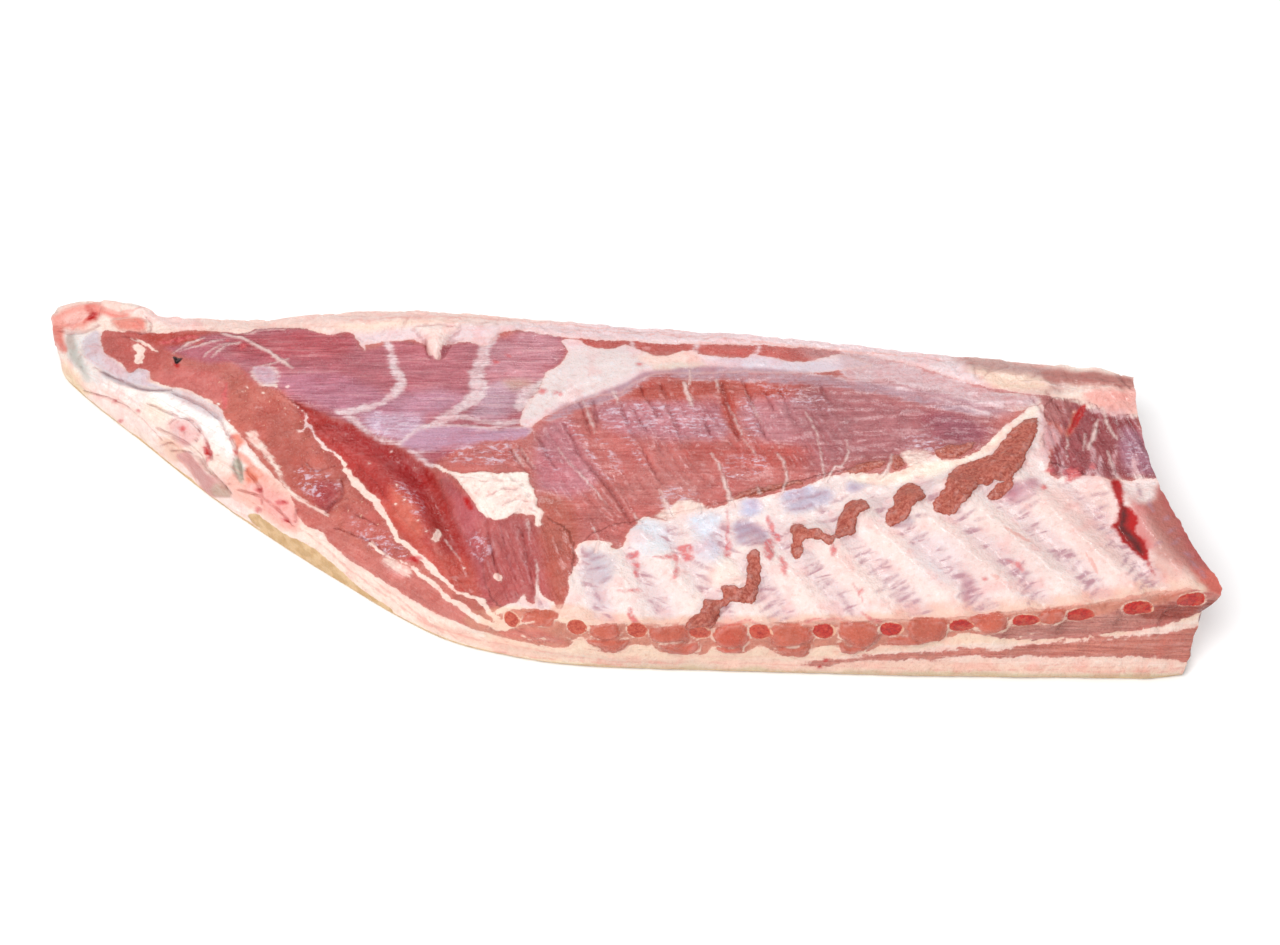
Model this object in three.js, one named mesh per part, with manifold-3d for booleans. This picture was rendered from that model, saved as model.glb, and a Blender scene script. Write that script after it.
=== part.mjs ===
// A whole side of pork belly on the bone, lying skin down: a rind and fat layer that turns up into a rim
// along the belly line and round the flank, the lean with its trimmed diaphragm and lining in that tray,
// and the ribs, sawn off along the loin side so that their ends show. Millimetres, +X towards the shoulder
// end, +Y towards the belly line, +Z up, origin under the middle of the slab's box, where it lies.
import * as THREE from "three";
import { mergeVertices } from "three/addons/utils/BufferGeometryUtils.js";
import Module from "manifold-3d";

// ---- Driving dimensions ----
const TOUCH_GAP = 0.3; // left between pieces that touch
const SLIVER = 0.02; // edges shorter than this are merged away
const STATIONS = 88; // rings along the slab
const ROWS = 28; // steps across its upper face
const HEIGHT_SEARCH_STEPS = 18; // halvings in the search for a section
const ORIGIN_SHIFT = [-4.5, -3.5, 0]; // brings the middle of the slab's box over the origin
const OUTSIDE_LOIN_Y = -160; // past all of the loin face
const LEAN_TOP = 90; // above all of the slab

const RIB_HEIGHT = 11.5; // of a bone's oval section
const RIB_COVER = 2.2; // lining over a bone
const RIB_RISE = 3.2; // how far a covered bone stands out of the face round it
const RIB_SPREAD = 8.5; // half width of that swelling
const RIB_SIDES = 8;
const RIB_STEP = 16; // between a bone's rings
const RIB_BEND = 10; // degrees more lean at a bone's far end
const RIB_TIP = 0.55; // how much a bone narrows to its far end
const RIB_DIP = 1.5; // and how far it dips there
const SAW_OVERSHOOT = 22; // bones are drawn past the loin face and then sawn off by it

const LOBE_BULGE = 2.4; // how far the muscle between two bones stands out of the loin face
const LOBE_CLEAR = 7; // it starts this far to either side of a bone's middle
const LOBES_FROM = -90; // no lobes on the flank side of this X
const LOBE_SHARE = 0.74; // where up the face they are, as a share of the height
const LOBE_SHARE_SPREAD = 0.2;

const WALL_STEP = 3; // height of the belly wall's inner muscle over the cut flank
const WALL_STEP_RAMP = 7; // how wide the step is
const WALL_STEP_REACH = 42; // and how far in it fades out
const WALL_STEP_START = 4; // it rises over the first of this many parts of the edge

const END_OVERHANG = 8; // the shoulder end's upper layer stands out this far over the rest
const END_OVERHANG_SHARE = 0.26; // within this share of the height from the top
const END_SLOPE = 13; // and below it the end slopes in this far to its foot
const END_FROM = 300; // the sections past this X go over to that end
const END_INSETS = [0.3, 0.7]; // rings inside the shoulder end, as shares of the way to its middle line
const END_SPINE_MARGIN = 22; // the middle line stops this short of the walls

// ---- The slab's shape ----
// Cross-sections from the flank tip to the shoulder end. near and far are the ends of the upper face on the
// loin side and on the belly side, flare is how far the foot of the loin side stands out beyond its upper
// edge, bow bends the section along X, and heights are the upper face's at the shares of the width in ACROSS.
const ACROSS = [0, 0.08, 0.2, 0.4, 0.6, 0.8, 0.93, 1];
const SECTIONS = [
  { near: [-350, 126], far: [-351, 137], flare: 1, bow: 0, heights: [22, 24, 26, 27, 28, 28, 27, 25] },
  { near: [-344, 110], far: [-345, 141], flare: 2, bow: -3, heights: [22, 25, 28, 30, 32, 33, 32, 28] },
  { near: [-322, 87], far: [-329, 144], flare: 4, bow: -2, heights: [20, 25, 28, 31, 33, 35, 35, 31] },
  { near: [-289, 55], far: [-302, 139], flare: 4, bow: 0, heights: [19, 24, 29, 33, 36, 37, 36, 32] },
  { near: [-256, 22], far: [-282, 131], flare: 4, bow: 0, heights: [19, 24, 29, 35, 39, 39, 37, 33] },
  { near: [-222, -9], far: [-262, 128], flare: 4, bow: 0, heights: [20, 24, 29, 35, 40, 40, 38, 34] },
  { near: [-190, -35], far: [-236, 128], flare: 5, bow: 0, heights: [22, 25, 29, 35, 40, 40, 38, 34] },
  { near: [-157, -60], far: [-208, 128], flare: 6, bow: 0, heights: [25, 27, 30, 35, 41, 41, 38, 34] },
  { near: [-122, -86], far: [-176, 131], flare: 6, bow: 0, heights: [25, 28, 31, 36, 42, 41, 39, 35] },
  { near: [-90, -105], far: [-140, 134], flare: 6, bow: 0, heights: [28, 32, 37, 40, 42, 41, 39, 35] },
  { near: [-56, -118], far: [-104, 133], flare: 4, bow: 0, heights: [37, 39, 42, 43, 43, 41, 39, 35] },
  { near: [-20, -126], far: [-65, 129], flare: 3, bow: 0, heights: [39, 42, 43, 44, 43, 41, 39, 35] },
  { near: [22, -130], far: [-22, 125], flare: 2, bow: 0, heights: [40, 44, 44, 44, 43, 41, 39, 34] },
  { near: [75, -132], far: [30, 119], flare: 2, bow: 0, heights: [41, 44, 45, 45, 43, 41, 39, 34] },
  { near: [130, -133], far: [84, 114], flare: 3, bow: 0, heights: [43, 46, 47, 46, 44, 41, 39, 34] },
  { near: [185, -134], far: [140, 106], flare: 4, bow: 0, heights: [46, 49, 49, 48, 45, 42, 39, 35] },
  { near: [238, -134], far: [193, 96], flare: 5, bow: 0, heights: [51, 53, 53, 50, 47, 44, 41, 36] },
  { near: [286, -131], far: [242, 88], flare: 9, bow: -2, heights: [56, 58, 56, 53, 49, 46, 43, 38] },
  { near: [322, -128], far: [286, 79], flare: 13, bow: -6, heights: [60, 60, 58, 55, 52, 48, 45, 41] },
  { near: [346, -124], far: [314, 72], flare: 16, bow: -10, heights: [61, 61, 59, 57, 54, 50, 47, 44] },
  { near: [360, -120], far: [331, 66], flare: 18, bow: -12, heights: [59, 59, 58, 56, 53, 49, 46, 43] },
];
// Each wall's profile: share of the height, and how far it stands out of the straight line from edge to
// foot, at the flank and at the shoulder. There the loin face is drawn in under the ribs.
const NEAR_WALL = [[0.86, 0.8, 0.4], [0.7, 1.4, -2.6], [0.5, 1.8, -0.6], [0.25, 1.8, 0.8], [0.07, 1.2, 1.2],
  [0, -2, -2]];
const FAR_WALL = [[0.75, 2.6, 2.6], [0.4, 3.8, 3.8], [0.12, 1.4, 1.4], [0, -3, -3]];
const SHOULDER_FROM = 120; // the walls' profiles change over from this X
const SHOULDER_BY = 260; // to this one
const FOOT_POINTS = 4; // between the two walls, under the slab

// ---- Relief on the upper face: a swelling or a groove along a line ----
const SWELLS = [
  { name: "fold between flank and belly wall", rise: -8, spread: 11,
    line: [[-107, -4], [-98, -29], [-87, -59], [-75, -83], [-62, -98]] },
  { name: "cut flank muscle", rise: 4, spread: 20,
    line: [[-212, 34], [-188, 4], [-160, -26], [-132, -54], [-112, -70]] },
  { name: "inner flank muscle", rise: 4, spread: 12,
    line: [[-170, 24], [-146, 2], [-122, -26], [-104, -56]] },
  { name: "groove under the belly wall's edge", rise: -3.2, spread: 9,
    line: [[-206, 46], [-182, 36], [-160, 27], [-142, 12], [-126, 4], [-112, -8]] },
  { name: "first diaphragm stub", rise: 4, spread: 7,
    line: [[57, -136], [66, -123], [84, -108], [94, -100], [93, -86]] },
  { name: "second diaphragm stub", rise: 4, spread: 7,
    line: [[121, -88], [118, -72], [131, -67], [140, -75], [149, -58], [163, -48]] },
  { name: "third diaphragm stub", rise: 4, spread: 8,
    line: [[181, -55], [188, -44], [206, -31]] },
  { name: "fourth diaphragm stub", rise: 4, spread: 9,
    line: [[213, -44], [224, -30], [242, -18], [256, -2], [266, 14]] },
  { name: "fat pad", rise: 3, spread: 15, line: [[-78, -26], [-46, -34]] },
  { name: "tip lobe", rise: 4, spread: 9, line: [[-348, 136], [-330, 139]] },
  { name: "crease behind the tip lobe", rise: -4, spread: 6,
    line: [[-352, 124], [-336, 127], [-326, 133]] },
  { name: "second tip lobe", rise: 4, spread: 9, line: [[-316, 138], [-294, 134]] },
  { name: "flank fat margin", rise: 4, spread: 12, line: [[-318, 98], [-296, 62], [-262, 36]] },
  { name: "belly rim", rise: 3, spread: 9, line: [[-170, 118], [-120, 121], [-60, 115]] },
  { name: "fold across the belly wall", rise: -2.5, spread: 13,
    line: [[-12, 46], [4, 22], [12, -12], [20, -44]] },
  { name: "shoulder hollow", rise: -5, spread: 16, line: [[296, 30], [312, 2], [318, -28]] },
];
// The belly wall's inner muscle stands above the cut flank along this edge.
const WALL_EDGE = [[-250, 78], [-219, 64], [-199, 50], [-182, 42], [-159, 33], [-140, 18], [-125, 11],
  [-107, -6]];

// ---- The layers inside the fat ----
// The space of the lean at stations from the flank to the shoulder: its near and far side in plan, and the
// height of its underside at each. Past the loin face and the shoulder end it is too large, for the slab to
// trim.
const LEAN_SECTIONS = [
  { near: [-317, 112], far: [-318, 119], under: [14, 14] },
  { near: [-306, 93], far: [-298, 115], under: [12, 13] },
  { near: [-284, 76], far: [-268, 114], under: [11, 12] },
  { near: [-262, 66], far: [-246, 116], under: [11, 12] },
  { near: [-240, 54], far: [-222, 118], under: [11, 12] },
  { near: [-229, 26], far: [-200, 118], under: [11, 12] },
  { near: [-217, 2], far: [-180, 115], under: [12, 12] },
  { near: [-196, -24], far: [-160, 108], under: [15, 13] },
  { near: [-170, -58], far: [-136, 101], under: [18, 13] },
  { near: [-132, -110], far: [-108, 100], under: [18.5, 13] },
  { near: [-84, -150], far: [-80, 102], under: [17.5, 14] },
  { near: [-54, -160], far: [-54, 108], under: [16, 14] },
  { near: [-10, -160], far: [-10, 109], under: [16, 15] },
  { near: [48, -160], far: [48, 102], under: [18.5, 16] },
  { near: [90, -160], far: [90, 99], under: [22, 18] },
  { near: [126, -160], far: [126, 97], under: [26.5, 20] },
  { near: [187, -160], far: [187, 87], under: [31, 23] },
  { near: [232, -160], far: [232, 68], under: [34, 25] },
  { near: [276, -160], far: [276, 50], under: [38, 27] },
  { near: [320, -160], far: [320, 55], under: [45, 30] },
  { near: [390, -160], far: [390, 50], under: [50, 32] },
];
// The sheet of lean out in the fat, which starts under the middle of the slab and thickens to the shoulder.
const OUTER_LEAN_SECTIONS = [
  { x: 76, far: 78, under: [14.6, 11], upper: [16.2, 12.6] },
  { x: 100, far: 76, under: [14, 10.5], upper: [20, 14] },
  { x: 130, far: 74, under: [14, 10], upper: [22.5, 15.5] },
  { x: 210, far: 66, under: [15, 10], upper: [28, 18.5] },
  { x: 280, far: 44, under: [17.5, 11], upper: [34.5, 22] },
  { x: 330, far: 30, under: [20, 12], upper: [42, 24] },
  { x: 390, far: 22, under: [22, 12], upper: [46, 26] },
];
const LAYER_POINTS = 4; // across a layer's underside
const LAYER_STEPS = 2; // rings for each section of a layer

// ---- The ribs ----
// From the shoulder to the flank: where each sawn end is along the loin face, its width, the bone's length,
// and how far it leans towards the flank, in degrees, at its sawn end.
const RIBS = [
  { x: 341, width: 17, length: 112, lean: 19 },
  { x: 310, width: 16, length: 124, lean: 27 },
  { x: 277, width: 14.5, length: 118, lean: 30 },
  { x: 246, width: 14, length: 108, lean: 31 },
  { x: 209, width: 12.5, length: 96, lean: 31 },
  { x: 169, width: 12, length: 82, lean: 31 },
  { x: 130, width: 12, length: 72, lean: 30 },
  { x: 93, width: 11.5, length: 68, lean: 28 },
  { x: 58, width: 11.5, length: 74, lean: 24 },
  { x: 22, width: 11.5, length: 76, lean: 18 },
  { x: -13, width: 11, length: 60, lean: 14 },
  { x: -51, width: 9, length: 22, lean: 8 },
];

// ---- Materials ----
const fatLook = new THREE.MeshStandardMaterial({ color: 0xf3d9c6, roughness: 0.5, metalness: 0 });
const leanLook = new THREE.MeshStandardMaterial({ color: 0xb9605c, roughness: 0.45, metalness: 0 });
const outerLeanLook = new THREE.MeshStandardMaterial({ color: 0xd98a80, roughness: 0.5, metalness: 0 });
const boneLook = new THREE.MeshStandardMaterial({ color: 0xb24a44, roughness: 0.55, metalness: 0 });

// ---- Curves and relief ----
const clamp01 = (t) => Math.min(1, Math.max(0, t));
const mix = (a, b, t) => a + (b - a) * t;
const smooth = (t) => clamp01(t) ** 2 * (3 - 2 * clamp01(t));
const bump = (distance, spread) => Math.exp(-((distance / spread) ** 2));

// The value at place t, 0 to 1, of a smooth curve through evenly placed values.
function through(values, t) {
  const last = values.length - 1;
  const at = clamp01(t) * last;
  const i = Math.min(Math.floor(at), last - 1);
  const f = at - i;
  const [a, b, c, d] = [-1, 0, 1, 2].map((k) => values[Math.min(Math.max(i + k, 0), last)]);
  return b + 0.5 * f * (c - a + f * (2 * a - 5 * b + 4 * c - d + f * (3 * (b - c) + d - a)));
}

// The section at place t, 0 at the flank end and 1 at the shoulder end, of a smooth run through a list of them.
function sectionOf(sections, t) {
  const run = (key, k) => through(sections.map((s) => (k === undefined ? s[key] : s[key][k])), t);
  return Object.fromEntries(Object.entries(sections[0]).map(([key, value]) =>
    [key, Array.isArray(value) ? value.map((_, k) => run(key, k)) : run(key)]));
}

function slabSection(t) {
  const section = sectionOf(SECTIONS, t);
  return { ...section, near: new THREE.Vector2(...section.near), far: new THREE.Vector2(...section.far) };
}

// Height at share v of a section's width, between the heights listed for the shares in ACROSS.
function heightAcross(heights, v) {
  const last = ACROSS.length - 1;
  const i = Math.min(ACROSS.findLastIndex((share) => share <= v), last - 1);
  return through(heights, (i + (v - ACROSS[i]) / (ACROSS[i + 1] - ACROSS[i])) / last);
}

// How far a point in plan is from a line, on which side of it, and how far along it, 0 to 1.
function toLine(line, x, y) {
  let best = { distance: Infinity };
  for (let i = 0; i + 1 < line.length; i++) {
    const [[ax, ay], [bx, by]] = [line[i], line[i + 1]];
    const [dx, dy] = [bx - ax, by - ay];
    const t = clamp01(((x - ax) * dx + (y - ay) * dy) / (dx * dx + dy * dy));
    const distance = Math.hypot(x - ax - t * dx, y - ay - t * dy);
    if (distance >= best.distance) continue;
    const side = dx * (y - ay) > dy * (x - ax) ? 1 : -1;
    best = { distance, side, along: (i + t) / (line.length - 1) };
  }
  return best;
}

// Y of the loin side's upper edge at a given X.
function loinFaceY(x) {
  const i = Math.max(1, SECTIONS.findIndex((s) => s.near[0] >= x));
  const [a, b] = [SECTIONS[i - 1].near, SECTIONS[i].near];
  return mix(a[1], b[1], (x - a[0]) / (b[0] - a[0]));
}

// A rib's centreline in plan, from outside the loin face inwards. It bends over towards the flank as it goes.
function ribLine(rib) {
  const steps = Math.ceil(rib.length / RIB_STEP);
  const line = [];
  let [x, y] = [rib.x, loinFaceY(rib.x)];
  for (let i = 0; i <= steps; i++) {
    line.push([x, y]);
    const lean = THREE.MathUtils.degToRad(rib.lean + (RIB_BEND * i) / steps);
    x -= (Math.sin(lean) * rib.length) / steps;
    y += (Math.cos(lean) * rib.length) / steps;
  }
  const outside = THREE.MathUtils.degToRad(rib.lean);
  line.unshift([rib.x + Math.sin(outside) * SAW_OVERSHOOT, line[0][1] - Math.cos(outside) * SAW_OVERSHOOT]);
  return line;
}

const ribLines = RIBS.map(ribLine);

// What the named swellings and grooves add to the upper face.
function swelling(x, y) {
  let rise = 0;
  for (const swell of SWELLS) rise += swell.rise * bump(toLine(swell.line, x, y).distance, swell.spread);
  const edge = toLine(WALL_EDGE, x, y);
  const inside = edge.side * edge.distance;
  const step = WALL_STEP * smooth(edge.along * WALL_STEP_START) * smooth(inside / WALL_STEP_RAMP + 0.5);
  return rise + step * bump(Math.max(inside, 0), WALL_STEP_REACH);
}

// What the ribs under the lining add to it.
function ribSwelling(x, y) {
  return RIB_RISE * Math.max(...ribLines.map((line) => bump(toLine(line, x, y).distance, RIB_SPREAD)));
}

// How far the muscle between the sawn bones stands out of the loin face: nothing at a bone or left of them.
function lobeAt(x) {
  const nearest = Math.min(...RIBS.map((rib) => Math.abs(rib.x - x)));
  return LOBE_BULGE * smooth((nearest - LOBE_CLEAR) / LOBE_CLEAR) * smooth((x - LOBES_FROM) / LOBE_CLEAR);
}

// Height over a point in plan of the face that the bones follow: under grooves, but not up into lumps.
function boneFaceHeight(x, y) {
  let [low, high] = [0, 1];
  for (let i = 0; i < HEIGHT_SEARCH_STEPS; i++) {
    const t = (low + high) / 2;
    const { near, far } = slabSection(t);
    const side = (far.x - near.x) * (y - near.y) - (far.y - near.y) * (x - near.x);
    [low, high] = side < 0 ? [t, high] : [low, t];
  }
  const { near, far, heights } = slabSection(low);
  const v = clamp01((y - near.y) / (far.y - near.y));
  return heightAcross(heights, v) + Math.min(0, swelling(x, y));
}

// ---- Lofted solids ----
// A closed mesh from rings of equal length, with a fan of triangles over each end.
function loft(rings) {
  const count = rings[0].length;
  const points = rings.flat();
  const triangles = [];
  for (let i = 0; i + 1 < rings.length; i++)
    for (let j = 0; j < count; j++) {
      const [a, b] = [i * count + j, i * count + ((j + 1) % count)];
      triangles.push(a, b, b + count, a, b + count, a + count);
    }
  const middle = (ring) => ring.reduce((sum, p) => sum.add(p), new THREE.Vector3()).divideScalar(count);
  points.push(middle(rings[0]), middle(rings.at(-1)));
  const last = count * (rings.length - 1);
  for (let j = 0; j < count; j++) {
    const next = (j + 1) % count;
    triangles.push(points.length - 2, next, j);
    triangles.push(points.length - 1, last + j, last + next);
  }
  return new THREE.BufferGeometry().setFromPoints(points).setIndex(triangles);
}

// Places along the slab, evenly spaced down the middle of its upper face.
function stationPlaces() {
  const fine = STATIONS * 8;
  const walked = [0];
  let before = null;
  for (let i = 0; i <= fine; i++) {
    const { near, far } = slabSection(i / fine);
    const middle = near.clone().lerp(far, 0.5);
    if (before) walked.push(walked.at(-1) + middle.distanceTo(before));
    before = middle;
  }
  return Array.from({ length: STATIONS + 1 }, (_, k) => {
    const goal = (walked.at(-1) * k) / STATIONS;
    const i = Math.min(walked.findLastIndex((length) => length <= goal + 1e-9), fine - 1);
    return (i + (goal - walked[i]) / (walked[i + 1] - walked[i])) / fine;
  });
}

// How far back from its upper edge the shoulder end is, at a share of the height.
const endBack = (share) => END_OVERHANG * smooth((1 - share) / END_OVERHANG_SHARE) + END_SLOPE * (1 - share);

// The points down one wall from its upper edge: profile rows are the share of the height left, and how far
// the wall stands out there.
function wall(edge, direction, profile, foot, lobe, endShare) {
  const shoulder = smooth((edge.x - SHOULDER_FROM) / (SHOULDER_BY - SHOULDER_FROM));
  return profile.map(([share, atFlank, atShoulder]) => {
    const bulge = lobe * bump(share - LOBE_SHARE, LOBE_SHARE_SPREAD);
    const reach = mix(atFlank, atShoulder, shoulder) + foot * (1 - share) + bulge;
    const x = edge.x + direction.x * reach - endShare * endBack(share);
    return new THREE.Vector3(x, edge.y + direction.y * reach, edge.z * share);
  });
}

// One ring of the slab: along the upper face from the loin side to the belly side, down that wall, back
// under the slab and up the loin wall.
function slabRing(t) {
  const { near, far, flare, bow, heights } = slabSection(t);
  const out = near.clone().sub(far).normalize();
  const shoulder = SECTIONS.at(-1).near[0];
  const endShare = smooth((near.x - END_FROM) / (shoulder - END_FROM));
  const upper = [];
  for (let j = 0; j <= ROWS; j++) {
    const v = j / ROWS;
    const x = mix(near.x, far.x, v) + bow * Math.sin(Math.PI * v);
    const y = mix(near.y, far.y, v);
    upper.push(new THREE.Vector3(x, y, heightAcross(heights, v) + swelling(x, y) + ribSwelling(x, y)));
  }
  const farWall = wall(upper.at(-1), out.clone().negate(), FAR_WALL, 0, 0, endShare);
  const nearWall = wall(upper[0], out, NEAR_WALL, flare, lobeAt(near.x), endShare).reverse();
  const under = [];
  for (let k = 1; k <= FOOT_POINTS; k++)
    under.push(farWall.at(-1).clone().lerp(nearWall[0], k / (FOOT_POINTS + 1)));
  return [...upper, ...farWall, ...under, ...nearWall].reverse();
}

// Rings inside the shoulder end, each a share of the way from the end's outline to its middle line.
function ringsInsideEnd(ring) {
  const box = new THREE.Box3().setFromPoints(ring);
  const ends = [box.min.y + END_SPINE_MARGIN, box.max.y - END_SPINE_MARGIN].map((y) => {
    const beside = ring.filter((p) => Math.abs(p.y - y) < END_SPINE_MARGIN);
    const mean = (key) => beside.reduce((sum, p) => sum + p[key], 0) / beside.length;
    return new THREE.Vector3(mean("x"), y, mean("z"));
  });
  const spine = new THREE.Line3(...ends);
  return END_INSETS.map((inset) =>
    ring.map((p) => p.clone().lerp(spine.closestPointToPoint(p, true, new THREE.Vector3()), inset)));
}

// A layer's sections, closer together.
function layerRun(sections) {
  const steps = LAYER_STEPS * (sections.length - 1);
  return Array.from({ length: steps + 1 }, (_, i) => sectionOf(sections, i / steps));
}

// The space that the lean takes out of the slab, made larger all round by grow.
function leanSpace(grow) {
  return loft(layerRun(LEAN_SECTIONS).map(({ near, far, under }, i) => {
    const shift = i === 0 ? -grow : 0;
    const across = Array.from({ length: LAYER_POINTS }, (_, k) => k / (LAYER_POINTS - 1));
    const ring = across.map((v) => new THREE.Vector3(
      mix(near[0], far[0], v) + shift, mix(near[1] - grow, far[1] + grow, v), mix(...under, v) - grow));
    ring.push(new THREE.Vector3(far[0] + shift, far[1] + grow, LEAN_TOP));
    ring.push(new THREE.Vector3(near[0] + shift, near[1] - grow, LEAN_TOP));
    return ring;
  }));
}

// The same for the outer sheet of lean.
function outerLeanSpace(grow) {
  return loft(layerRun(OUTER_LEAN_SECTIONS).map(({ x, far, under, upper }, i) => {
    const place = x - (i === 0 ? grow : 0);
    const across = Array.from({ length: LAYER_POINTS }, (_, k) => k / (LAYER_POINTS - 1));
    const row = (heights, lift) => across.map((v) => new THREE.Vector3(
      place, mix(OUTSIDE_LOIN_Y, far + grow, v), mix(...heights, v) + lift));
    return [...row(under, -grow), ...row(upper, grow).reverse()];
  }));
}

// A bone, or with grow the room for it: oval rings along its line, under the lining.
function ribGeometry(rib, line, grow) {
  return loft(line.map(([x, y], i) => {
    const [a, b] = [line[Math.max(i - 1, 0)], line[Math.min(i + 1, line.length - 1)]];
    const ahead = new THREE.Vector2(b[0] - a[0], b[1] - a[1]).normalize();
    const end = i === line.length - 1;
    const [half, tall] = [rib.width, RIB_HEIGHT].map((size) => (size / 2) * (end ? RIB_TIP : 1) + grow);
    const face = boneFaceHeight(x, Math.max(y, loinFaceY(x)));
    const middle = face + RIB_RISE - RIB_COVER - RIB_HEIGHT / 2 - (end ? RIB_DIP : 0);
    return Array.from({ length: RIB_SIDES }, (_, k) => {
      const angle = (2 * Math.PI * k) / RIB_SIDES;
      const side = half * Math.cos(angle);
      const push = end ? grow : 0;
      return new THREE.Vector3(x - ahead.y * side + ahead.x * push, y + ahead.x * side + ahead.y * push,
        middle + tall * Math.sin(angle));
    });
  }));
}

// ---- Joining and cutting ----
const wasm = await Module();
wasm.setup();

function solid(geometry) {
  const welded = mergeVertices(geometry);
  return new wasm.Manifold(new wasm.Mesh({
    numProp: 3,
    vertProperties: Float32Array.from(welded.attributes.position.array),
    triVerts: Uint32Array.from(welded.index.array),
  }));
}

function meshOf(name, body, look) {
  const { vertProperties, triVerts } = body.simplify(SLIVER).getMesh();
  const geometry = new THREE.BufferGeometry();
  geometry.setAttribute("position", new THREE.BufferAttribute(vertProperties, 3));
  geometry.setIndex(Array.from(triVerts));
  const mesh = new THREE.Mesh(geometry, look);
  mesh.name = name;
  return mesh;
}

const rings = stationPlaces().map(slabRing);
const slabSolid = solid(loft([...rings, ...ringsInsideEnd(rings.at(-1))]));
const slab = new THREE.Group();
slab.position.set(...ORIGIN_SHIFT);

const fat = slabSolid.subtract(solid(leanSpace(TOUCH_GAP))).subtract(solid(outerLeanSpace(TOUCH_GAP)));
slab.add(meshOf("fat_and_rind", fat, fatLook));
slab.add(meshOf("outer_lean", slabSolid.intersect(solid(outerLeanSpace(0))), outerLeanLook));

let lean = slabSolid.intersect(solid(leanSpace(0)));
RIBS.forEach((rib, i) => {
  const bone = slabSolid.intersect(solid(ribGeometry(rib, ribLines[i], 0)));
  slab.add(meshOf(`rib_${String(i + 1).padStart(2, "0")}`, bone, boneLook));
  lean = lean.subtract(solid(ribGeometry(rib, ribLines[i], TOUCH_GAP)));
});
slab.add(meshOf("lean", lean, leanLook));

export default slab;
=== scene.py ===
"""A whole side of pork belly on the bone, lying skin down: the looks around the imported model.

The slab's surface is worked out again from the same named sizes as the model's, much finer, and cut into
the same pieces. Sizes are in millimetres in the slab's own frame, until a mesh is made in metres.
"""
import math
from functools import reduce

import bpy
import numpy as np
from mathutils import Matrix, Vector
from mathutils.kdtree import KDTree


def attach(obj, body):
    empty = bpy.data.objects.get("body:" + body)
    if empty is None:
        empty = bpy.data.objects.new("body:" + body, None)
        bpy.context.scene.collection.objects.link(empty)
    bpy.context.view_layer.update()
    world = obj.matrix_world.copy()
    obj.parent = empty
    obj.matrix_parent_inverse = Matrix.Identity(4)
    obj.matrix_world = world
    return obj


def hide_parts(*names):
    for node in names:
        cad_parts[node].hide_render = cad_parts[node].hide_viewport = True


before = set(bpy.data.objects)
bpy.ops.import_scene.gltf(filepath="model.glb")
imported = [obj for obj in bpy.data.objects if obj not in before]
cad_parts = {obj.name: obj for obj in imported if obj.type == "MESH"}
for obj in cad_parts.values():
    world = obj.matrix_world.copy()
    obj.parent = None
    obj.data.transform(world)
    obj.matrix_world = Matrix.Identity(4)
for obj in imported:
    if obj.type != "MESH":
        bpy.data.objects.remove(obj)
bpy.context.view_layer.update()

# ---- Camera ----
PHOTO_SIZE = (1280, 945)
LENS, SENSOR = 85.0, 36.0
VIEW_ELEVATION = math.radians(47)
VIEW_DISTANCE = 1.860
VIEW_TARGET = Vector((0.0195, 0.0045, 0.020))
PIXEL_MM = (0.615, -0.84)  # of the slab for one pixel of the picture, across and up the slab
CURVE_STEPS = 3  # of a smooth outline between two of its points
REACH = 12.0  # distances from outlines are held within this
LIGHT_GAIN, MOIST_VEIL = 1.24, 0.022  # how light and shine turn a surface's colour into what is seen

# ---- The slab ----
MM = 0.001
STATIONS = 560
HOLLOW_REACH = 3  # points each way that a hollow is measured against
ROWS, FAR_ROWS, UNDER_ROWS, NEAR_ROWS = 200, 22, 12, 38
TOP, FAR, UNDER, NEAR, END = range(5)

ACROSS = np.array([0, 0.08, 0.2, 0.4, 0.6, 0.8, 0.93, 1])
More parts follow.
